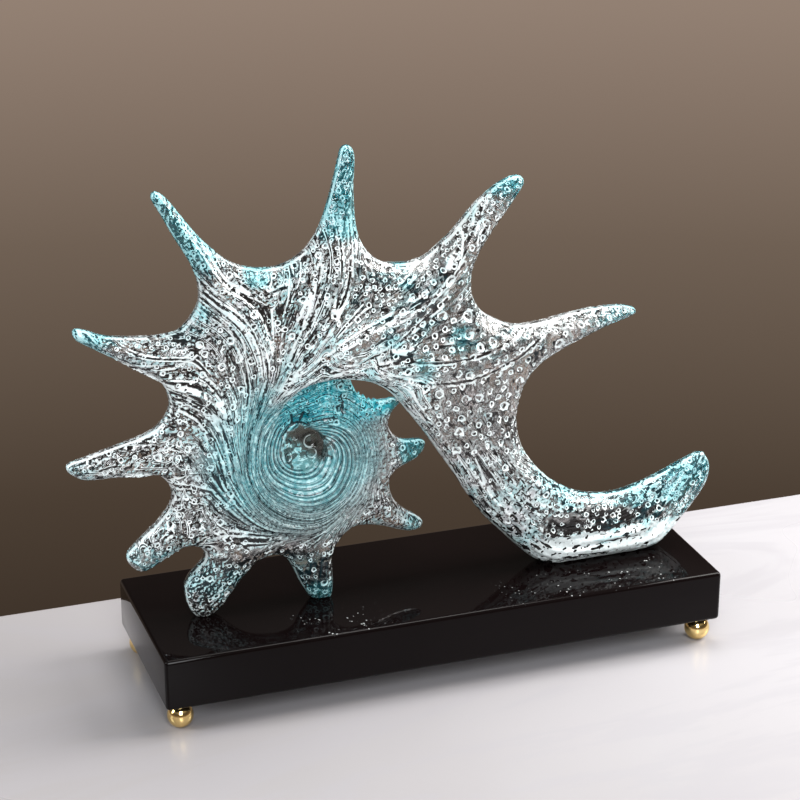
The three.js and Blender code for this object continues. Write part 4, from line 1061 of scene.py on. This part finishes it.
    # burst bubbles, with painted light and shade: pale painted highlights on the rims, open on one side, dark shaded or
    # clear hearts, a painted lit spot inside and a painted shade arc outside
    # side: which side of each bubble takes the painted highlight, turned at random from bubble to bubble
    ang = g.mul(pid, 37.0)
    dn = g.t.nodes.new("ShaderNodeVectorMath")
    dn.operation = "DOT_PRODUCT"
    g.put(dn.inputs[0], pit_to)
    g.put(dn.inputs[1], g.join(g.math("COSINE", ang), 0.3, g.math("SINE", ang)))
    side = dn.outputs["Value"]
    q = g.add(q, g.mul(g.sub(speck, 0.5), g.mixf(core, 0.95, 0.1)))
    rim = g.mixf(core, g.band(q, 0.46, 0.60, 0.92, 1.04), g.mul(g.band(q, 0.70, 0.80, 0.92, 1.02), 0.75))
    kept = g.most(g.step(g.sub(g.add(pid, g.mul(g.most(on_span, shoulder), 0.34)), g.mul(zone, 0.60)), 0.28, 0.34), core)
    ring = g.mul(rim, g.step(g.add(side, g.mul(pid, g.mixf(core, 1.2, 0.3))), -0.25, 0.10), kept)
    bubble_shaded_heart = g.mul(g.step(q, 0.50, 0.34), g.step(pid, 0.66, 0.70), g.step(side, 0.25, -0.05), kept, g.inv(core))
    shade = g.mul(g.band(q, 0.96, 1.06, 1.24, 1.40), g.step(side, 0.25, -0.2), kept, g.step(pid, 0.25, 0.35))
    lit = g.mul(g.step(q, 0.50, 0.36), g.step(side, 0.05, 0.25), g.step(pid, 0.5, 0.55), kept)

    # the grooved funnel round the eye: painted highlights on the ridge crests and painted shade down in the grooves
    gr = g.add(groove_pos, g.mul(g.sub(fine, 0.5), 1.2))
    tight = g.step(r, 34, 22)
    ridge_painted_highlight = g.mul(g.step(gr, 0.25, 0.65), g.mixf(tight, g.step(g.add(fleck, g.mul(lines, 0.7)), 0.74, 0.94, 0.10, 1.0), g.step(fleck, 0.36, 0.5, 0.7, 1.0)))
    groove_painted_shade = g.mul(g.step(gr, -0.10, -0.45), g.mixf(tight, g.step(g.add(speck, g.mul(lines, 0.6)), 0.66, 0.84, 0.20, 1.0), g.step(speck, 0.34, 0.5, 0.7, 1.0)))
    swirl = g.step(g.add(inner, g.mul(g.sub(fleck, 0.5), 1.6)), 0.20, 0.60)
    swirl = g.mul(swirl, g.step(inner, 0.02, 0.1), g.inv(core), g.inv(g.mul(coil_side, 0.5)))

    facing = g.mul(g.inv(g.mul(flank, 0.85)), g.step(front, 0.15, 0.45))
    # painted highlight and shade along the outline: a pale line at the very edge for the light the rounded rim catches,
    # and a dark line just inside it
    painted_rim_highlight = g.mul(g.band(edge, 0.1, 0.35, 0.80, 1.2), g.step(fine, 0.38, 0.46), facing)
    painted_rim_shade = g.mul(g.band(edge, 1.2, 1.5, 1.9, 2.4), g.step(fine, 0.50, 0.56), facing)
    w = g.most(g.mul(white, 0.95), painted_lit_stroke)
    d = g.most(g.most(painted_shaded_stroke, dark_slit), outline)
    d = g.most(d, g.mul(g.step(speck, 0.37, 0.32), g.step(zone, 0.55, 0.75), g.inv(g.mul(foot_white, 0.75)), 0.95))
    clear_d = g.most(g.mul(g.step(patch2, 0.60, 0.64), g.step(fleck, 0.52, 0.46), g.step(zone, 0.60, 0.40), 0.9), g.mul(dark_foot, g.step(fleck, 0.66, 0.58)))
    clear_d = g.most(clear_d, g.mul(low_left, g.step(fleck, 0.56, 0.49), g.step(some_way, 0.38, 0.46)))
    d = g.most(d, g.mul(clear_d, g.inv(w)))
    d = g.most(g.mul(d, g.inv(g.mul(core, 0.8))), g.most(bubble_shaded_heart, g.most(g.mul(shade, 0.9), painted_rim_shade)))
    d = g.most(d, thread_d)
    w = g.most(w, g.mul(lit, 0.8))
    # painted highlights of the bubble rims and the outline, together with the casting's own pale threads
    painted_highlight_and_pale_thread = g.most(g.most(ring, g.mul(painted_rim_highlight, 0.9)), thread_w)
    rough_low = g.mul(g.step(g.add(pz, g.mul(g.sub(patch, 0.5), 0.03)), 0.132, 0.110), g.step(r, 24, 36))
    # in the funnel: the painted ridge highlights and groove shade, with painted light-and-shade relief dashes
    painted_relief_dash = g.add(g.mul(drawn_emboss_light_shade, 1.9), g.mul(painted_emboss_light_shade, rough_low, 0.7))
    w = g.mixf(swirl, w, g.most(g.mul(ridge_painted_highlight, g.inv(g.mul(rough_low, 0.6))), g.mul(g.step(g.add(g.mul(painted_emboss_light_shade, 0.4), painted_relief_dash), 0.065, 0.11), g.mixf(rough_low, 0.50, 0.9), g.inv(g.mul(tight, 0.6)))))
    d = g.mixf(swirl, d, g.most(g.mul(groove_painted_shade, g.inv(g.mul(rough_low, 0.3))), g.mul(g.step(g.add(g.mul(painted_emboss_light_shade, 0.4), painted_relief_dash), -0.060, -0.105), g.mixf(rough_low, 0.70, 1.0), g.inv(g.mul(tight, 0.6)))))
    d = g.mul(d, g.inv(painted_highlight_and_pale_thread))
    # painted shade along the creases: dark there, with the pale colours taken out
    cut = g.step(g.add(crease, g.mul(g.sub(speck, 0.5), 0.7)), 0.50, 0.80)
    d = g.mul(d, g.inv(g.mul(g.step(tip, 0.25, 0.6), 0.40)))
    d = g.step(g.most(d, cut), 0.15, 0.70)
    w = g.mul(w, g.inv(d))
    w = g.most(w, g.mixf(swirl, painted_highlight_and_pale_thread, g.mul(painted_highlight_and_pale_thread, 0.6)))
    w = g.mul(w, g.inv(cut))

    # where it is turquoise
    streaky = g.add(patch, g.mul(fine, 0.5))
    vort = g.mul(g.step(g.add(g.add(r, g.mul(g.add(px, 0.0612), 180.0)), g.mul(g.sub(patch, 0.5), 30.0)), 66, 40), g.mixf(g.step(px, -0.060, -0.020), 1.0, 0.60), g.mixf(g.step(pz, 0.128, 0.100), 1.0, 0.62))
    vort = g.mul(vort, g.inv(g.mul(strip, 0.9)), g.step(streaky, 0.55, 0.80, 0.62, 1.0), g.mixf(rough_low, 1.0, 0.55))
    vort = g.mul(vort, g.inv(g.mul(core, g.inv(low_eye))))
    tips = g.mul(g.step(g.add(tip, g.mul(g.sub(streaky, 0.75), 1.6)), 0.25, 0.70), g.step(tip, 0.0, 0.10))
    tail = g.mul(on_arm, g.step(px, 0.03, 0.12), g.step(pz, 0.165, 0.135), g.step(streaky, 0.78, 0.90), 0.7)
    ridge_foot = g.mul(on_arm, g.step(px, 0.085, 0.105), g.band(pz, 0.082, 0.090, 0.110, 0.125), g.step(streaky, 0.62, 0.74), 0.8)
    tail = g.most(tail, ridge_foot)
    stray = g.mul(g.step(patch2, 0.56, 0.66), g.step(fleck, 0.45, 0.6), 0.30, g.inv(g.mul(shoulder, 0.8)))
    stray = g.most(stray, g.mul(g.most(low_spikes, high_rim), g.step(streaky, 0.66, 0.84), 0.62))
    span_tint = g.mul(on_span, g.band(g.attr("stream"), 0.5, 3.0, 7.0, 11.0), g.step(patch2, 0.46, 0.56), g.step(fine, 0.42, 0.54))
    stray = g.most(stray, g.mul(span_tint, 0.55))
    top = g.mul(coil_top, g.step(g.add(patch2, g.mul(fleck, 0.4)), 0.64, 0.74, 1.0, 0.5), g.mixf(front, 0.35, 1.0))
    tq = g.most(g.most(top, vort), g.most(tips, g.most(tail, stray)))
    rose = g.mul(g.step(some_way, 0.56, 0.66), g.inv(g.mul(tq, 0.6)))
    tq = g.mul(tq, g.inv(g.mul(rose, 0.5, g.inv(top))))

    clear_c = g.mix(g.noise(P, 60.0, 1.0), (0.72, 0.70, 0.70), (0.92, 0.90, 0.90))
    clear_c = g.mix(g.mul(rose, 0.3), clear_c, (0.80, 0.68, 0.69))
    white_c = g.mix(g.step(grain, 0.34, 0.62), (0.29, 0.37, 0.38), (0.70, 0.82, 0.84))
    cool = g.step(g.add(some_way, g.mul(g.sub(fine, 0.5), 0.5)), 0.50, 0.40)
    white_c = g.mix(g.mul(cool, 0.75), white_c, g.mix(g.step(grain, 0.34, 0.62), (0.26, 0.46, 0.49), (0.48, 0.76, 0.79)))
    white_c = g.mix(g.mul(rose, 0.5, g.inv(foot_white)), white_c, (0.66, 0.62, 0.66))
    # painted shade: the whites greyed along the upper rims, where the lamps light the upward-facing rims most
    upper_rim_painted_shade = g.mul(g.step(edge, 17.0, 6.0), g.step(pz, 0.205, 0.240), g.inv(flank))
    white_c = g.mix(g.mul(upper_rim_painted_shade, 0.42), white_c, g.mix(patch2, (0.22, 0.32, 0.34), (0.38, 0.42, 0.43)))
    # the painted highlights, the pale threads and the whitest foot flecks get the brightest white
    white_c = g.mix(g.most(painted_highlight_and_pale_thread, g.mul(foot_white, g.step(grain, 0.16, 0.30))), white_c, (0.87, 0.95, 0.96))
    white_c = g.mix(g.mul(upper_rim_painted_shade, 0.25), white_c, (0.36, 0.44, 0.46))
    clear_c = g.mix(g.mul(tq, 0.95), clear_c, g.mix(patch, (0.03, 0.32, 0.39), (0.11, 0.56, 0.63)))
    clear_c = g.mix(g.mul(vort, 0.85), clear_c, g.mix(fleck, (0.01, 0.14, 0.17), (0.07, 0.44, 0.50)))
    clear_c = g.mix(g.mul(top, 0.85), clear_c, g.mix(g.step(g.add(patch2, g.mul(g.sub(fleck, 0.5), 0.8)), 0.36, 0.60), (0.0, 0.26, 0.34), (0.0, 0.66, 0.78)))
    clear_c = g.mix(core, clear_c, g.mix(low_eye, (0.17, 0.21, 0.20), (0.18, 0.46, 0.48)))
    white_c = g.mix(g.mul(tq, 0.75), white_c, g.mix(grain, (0.14, 0.50, 0.56), (0.44, 0.86, 0.90)))
    white_c = g.mix(g.mul(vort, 0.70), white_c, g.mix(g.step(grain, 0.34, 0.62), (0.14, 0.44, 0.49), (0.62, 0.90, 0.92)))
    white_c = g.mix(g.mul(rough_low, swirl, 0.65), white_c, g.mix(fleck, (0.14, 0.24, 0.25), (0.36, 0.46, 0.47)))
    white_c = g.mix(g.mul(top, 0.70), white_c, g.mix(grain, (0.05, 0.44, 0.52), (0.16, 0.74, 0.80)))
    clear_c = g.mix(g.mul(rough_low, swirl, 0.60), clear_c, (0.06, 0.13, 0.14))
    dark_c = g.mix(tq, (0.012, 0.011, 0.011), (0.003, 0.030, 0.040))
    col = g.mix(w, clear_c, white_c)
    col = g.mix(d, col, dark_c)

    trans = g.mul(g.inv(g.mul(w, 0.92)), g.inv(g.mul(d, 0.92)), 0.96)
    trans = g.mul(trans, g.inv(g.mul(top, 0.75)), g.inv(g.mul(vort, 0.72)))
    rough = g.add(g.mul(g.noise(P, 420.0, 1.0), 0.08), 0.03)
    rough = g.add(rough, g.mul(w, 0.16))

    height = g.add(g.mul(fleck, 0.8), g.mul(fine, 0.15))
    height = g.add(height, g.mul(g.step(speck, 0.70, 0.60), 0.4))
    normal = g.bump(height, 0.28, 0.0012)
    g.set(Base_Color=col, Transmission_Weight=trans, Roughness=rough, IOR=1.44, Normal=normal)
    return g.mat


def lacquer_material():
    g = Nodes("black_gloss_lacquer")
    P = g.place()
    cloud = g.noise(P, 7.0, 3.0, 0.6)
    px, py, pz = g.split(P)
    # painted glints: sparse pale specks on the top face near the foot and near the left spikes, standing in for
    # sparkles of reflected light
    painted_glint_cells = g.cells(P, 330.0)
    near_foot = g.mul(g.band(px, 0.045, 0.075, 0.150, 0.175), g.step(py, -0.020, -0.028), g.step(g.noise(P, 60.0, 1.0), 0.46, 0.56))
    near_spike = g.mul(g.band(px, -0.085, -0.070, -0.040, -0.025), g.step(py, -0.020, -0.028), g.step(g.noise(P, 60.0, 1.0), 0.46, 0.56))
    fleck = g.mul(g.step(g.sub(painted_glint_cells, g.mul(g.noise(P, 150.0, 0.0), 0.22)), 0.06, 0.01), g.most(near_foot, near_spike), g.step(pz, 0.0480, 0.0487))
    col = g.mix(cloud, (0.0018, 0.0009, 0.0009), (0.0044, 0.0026, 0.0027))
    col = g.mix(g.mul(fleck, 0.9), col, (0.42, 0.44, 0.44))
    rough = g.add(g.mul(cloud, 0.05), g.add(0.035, g.mul(fleck, 0.2)))
    peel = g.noise(P, 170.0, 1.0)
    g.set(Base_Color=col, Roughness=rough, IOR=1.21, Normal=g.bump(peel, 0.03, 0.0006))
    return g.mat


def metal_material(name, pale, deep, rough, scratch):
    g = Nodes(name)
    P = g.place()
    cloud = g.noise(P, 90.0, 3.0, 0.6)
    hair = g.noise(g.vec("MULTIPLY", P, (1.0, 1.0, 14.0)), 500.0, 2.0)
    col = g.mix(cloud, deep, pale)
    r = g.add(g.add(rough, g.mul(cloud, 0.06)), g.mul(hair, scratch))
    g.set(Base_Color=col, Metallic=1.0, Roughness=r, Normal=g.bump(hair, 0.04, 0.0002))
    return g.mat


def floor_material():
    g = Nodes("pale_counter")
    P = g.place()
    warp = g.noise(P, 2.2, 3.0, 0.6)
    vein = g.noise(g.vec("MULTIPLY", P, (1.0, 3.2, 1.0)), 2.6, 5.0, 0.62, 1.2)
    soft = g.band(vein, 0.44, 0.50, 0.52, 0.58)
    px, py, pz = g.split(P)
    # painted light falloff: the counter's colour darker to the left and towards the front, brighter to the right
    across = g.step(g.add(px, g.mul(py, 0.5)), -0.25, 0.38)
    col = g.mix(across, g.mix(warp, (0.290, 0.275, 0.282), (0.340, 0.324, 0.333)), g.mix(warp, (0.43, 0.42, 0.445), (0.50, 0.49, 0.515)))
    col = g.mix(g.mul(soft, 0.22), col, (0.33, 0.32, 0.35))
    g.set(Base_Color=col, Roughness=g.add(0.22, g.mul(warp, 0.12)), Normal=g.bump(g.noise(P, 300.0, 1.0), 0.02, 0.0004))
    return g.mat


# ------------------------------------------------------------------ base, feet, floor
def grid_box(name, lo, hi, bevel, segments):
    """A block with evenly rounded edges, in mm."""
    import bmesh
    bm = bmesh.new()
    bmesh.ops.create_cube(bm, size=1.0)
    for v in bm.verts:
        v.co = [(lo[i] + hi[i]) / 2 + v.co[i] * (hi[i] - lo[i]) for i in range(3)]
    bmesh.ops.bevel(bm, geom=list(bm.edges), offset=bevel, segments=segments, profile=0.5, affect="EDGES", clamp_overlap=True)
    for v in bm.verts:
        v.co *= MM
    me = bpy.data.meshes.new(name)
    bm.normal_update()
    bm.to_mesh(me)
    bm.free()
    return me


def base_block_mesh(lo, hi):
    me = grid_box("base_block_lacquered", lo, hi, 2.6, 5)
    me.transform(Matrix.Scale(1000, 4))
    holes = [(x, y, 3.5, lo[2] - 3, lo[2] + 11) for x in (lo[0] + 10.5, hi[0] - 10.5) for y in (lo[1] + 10.5, hi[1] - 10.5)]
    holes += [(x, y, 6.2, lo[2] - 3, lo[2] + 7) for x, y in SCREW_SPOTS]
    me = drill(me, holes)
    me = drill(me, [(x, y, 2.8, lo[2] + 2, hi[2] + 3) for x, y in SCREW_SPOTS] + [(x, y, 1.8, hi[2] - 13, hi[2] + 3) for x, y in DOWEL_SPOTS])
    me.transform(Matrix.Scale(MM, 4))
    me.name = "base_block_lacquered"
    return me


def ball_mesh(node, lo, hi):
    """A turned ball foot: flat under it, neck on top, bored for its stud."""
    cx, cy = (lo[0] + hi[0]) * 500, (lo[1] + hi[1]) * 500
    R, flat, neck, top = 8.0, 3.0, 4.0, 15.7
    lift = -(R - math.sqrt(R * R - flat * flat))
    pts = [(0, 0), (flat - 0.25, 0), (flat, 0.05)]
    a0, a1 = -math.acos(flat / R), math.acos(neck / R)
    for i in range(1, 29):
        a = a0 + (a1 - a0) * i / 28
        pts.append((R * math.cos(a), R + lift + R * math.sin(a)))
    pts += [(neck, top - 0.15), (neck - 0.15, top), (2.3, top), (2.3, 6.7), (0, 6.7)]
    return lathe(node, pts, 64, cx, cy)


def lathe(name, profile, sides, cx, cy):
    """A closed body turned about the vertical through (cx, cy), in mm; profile runs from axis to axis."""
    verts, faces, rings = [], [], []
    for rad, h in profile:
        if rad < 1e-6:
            rings.append([len(verts)])
            verts.append((cx, cy, h))
        else:
            rings.append(list(range(len(verts), len(verts) + sides)))
            for i in range(sides):
                a = 2 * math.pi * i / sides
                verts.append((cx + rad * math.cos(a), cy + rad * math.sin(a), h))
    for a, b in zip(rings[:-1], rings[1:]):
        for i in range(sides):
            j = (i + 1) % sides
            if len(a) == 1:
                faces.append((a[0], b[j], b[i]))
            elif len(b) == 1:
                faces.append((a[i], a[j], b[0]))
            else:
                faces.append((a[i], a[j], b[j], b[i]))
    me = bpy.data.meshes.new(name)
    me.from_pydata([tuple(c * MM for c in v) for v in verts], [], faces)
    me.update()
    return me


def link(name, me, mat, smooth_angle=None):
    ob = bpy.data.objects.new(name, me)
    bpy.context.scene.collection.objects.link(ob)
    me.materials.clear()
    me.materials.append(mat)
    me.polygons.foreach_set("use_smooth", np.ones(len(me.polygons), bool))
    if smooth_angle:
        me.set_sharp_from_angle(angle=math.radians(smooth_angle))
    return ob


casting = build_casting()
casting.data.materials.clear()
casting.data.materials.append(casting_material())
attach(casting, "root")
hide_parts("spiral_casting")

lacquer = lacquer_material()
blo, bhi = [[v * 1000 for v in c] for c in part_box("base_block")]
block = link("base_block_lacquered", base_block_mesh(blo, bhi), lacquer, 40)
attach(block, "root")
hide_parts("base_block")

brass = metal_material("polished_brass", (0.98, 0.76, 0.36), (0.86, 0.58, 0.20), 0.07, 0.05)
insert_brass = metal_material("insert_brass", (0.83, 0.62, 0.30), (0.70, 0.50, 0.22), 0.26, 0.15)
steel = metal_material("fastener_steel", (0.66, 0.66, 0.67), (0.50, 0.51, 0.53), 0.28, 0.18)
for node in ("ball_foot_front_left", "ball_foot_front_right", "ball_foot_back_left", "ball_foot_back_right"):
    lo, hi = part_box(node)
    ball = link(node + "_turned", ball_mesh(node, lo, hi), brass, 35)
    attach(ball, "root")
    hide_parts(node)

for name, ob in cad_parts.items():
    kind = None
    if "insert" in name:
        kind = insert_brass
    elif "stud" in name or "screw" in name or "washer" in name or "dowel" in name:
        kind = steel
    if kind:
        ob.data.materials.clear()
        ob.data.materials.append(kind)

scene = bpy.context.scene


def area(name, at, towards, size, power, colour=(1, 1, 1), shape=None):
    data = bpy.data.lights.new(name, "AREA")
    data.shape = "RECTANGLE"
    data.size, data.size_y = size
    data.energy = power
    data.color = colour
    ob = bpy.data.objects.new(name, data)
    ob.location = at
    ob.rotation_euler = (Vector(towards) - Vector(at)).to_track_quat("-Z", "Y").to_euler()
    scene.collection.objects.link(ob)
    return ob


mid = (0.0, 0.0, 0.17)
area("overhead_softbox", (0.25, 0.20, 1.45), (0.05, 0, 0.1), (0.8, 0.6), 16, (1.0, 0.985, 0.96))
area("key_softbox", (1.15, -0.10, 1.00), mid, (0.7, 0.9), 30, (1.0, 0.98, 0.95))
area("front_softbox", (-0.35, -1.60, 1.20), mid, (0.7, 1.1), 34, (0.95, 0.98, 1.0))
area("left_strip", (-1.25, 0.05, 0.75), (0.0, 0.0, 0.25), (0.25, 0.7), 9, (0.92, 0.97, 1.0))

floor_me = grid_box("counter_slab", (-1600, -1200, -40), (1600, 130, 0), 4, 4)
floor = link("counter_slab", floor_me, floor_material(), 40)

world = bpy.data.worlds.new("studio")
scene.world = world
world.use_nodes = True
wt = world.node_tree
wt.nodes.clear()
wo = wt.nodes.new("ShaderNodeOutputWorld")
bg = wt.nodes.new("ShaderNodeBackground")
tc = wt.nodes.new("ShaderNodeTexCoord")
sp = wt.nodes.new("ShaderNodeSeparateXYZ")
rampn = wt.nodes.new("ShaderNodeValToRGB")
wt.links.new(tc.outputs["Generated"], sp.inputs[0])
mr = wt.nodes.new("ShaderNodeMapRange")
mr.inputs["From Min"].default_value = -0.62
mr.inputs["From Max"].default_value = 0.62
wt.links.new(sp.outputs[2], mr.inputs["Value"])
wt.links.new(mr.outputs[0], rampn.inputs[0])
cr = rampn.color_ramp
cr.elements[0].position = 0.10
cr.elements[0].color = (0.030, 0.020, 0.014, 1)
cr.elements[1].position = 1.0
cr.elements[1].color = (0.30, 0.28, 0.26, 1)
for pos, c in ((0.17, (0.070, 0.049, 0.034)), (0.25, (0.160, 0.118, 0.088)), (0.327, (0.290, 0.218, 0.172)), (0.5, (0.30, 0.235, 0.19)),
               (0.68, (0.085, 0.065, 0.052)), (0.85, (0.09, 0.08, 0.07))):
    el = cr.elements.new(pos)
    el.color = (*c, 1)
wt.links.new(rampn.outputs[0], bg.inputs[0])
bg.inputs[1].default_value = 1.0
wt.links.new(bg.outputs[0], wo.inputs[0])

cam_data = bpy.data.cameras.new("camera")
cam_data.lens = 106.3355
cam_data.sensor_width = 36
cam_data.sensor_fit = "AUTO"
cam_data.clip_start = 0.01
cam = bpy.data.objects.new("camera", cam_data)
YAW, PITCH = 0.3366545, 0.3845183
cam.location = (-0.44085, -1.25454, 0.70740)
look = Vector((math.sin(YAW) * math.cos(PITCH), math.cos(YAW) * math.cos(PITCH), -math.sin(PITCH)))
cam.rotation_euler = look.to_track_quat("-Z", "Y").to_euler()
scene.collection.objects.link(cam)
scene.camera = cam

scene.cycles.use_denoising = True
scene.cycles.max_bounces = 14
scene.cycles.transmission_bounces = 12
scene.cycles.glossy_bounces = 6
scene.cycles.diffuse_bounces = 4
scene.view_settings.view_transform = "Standard"
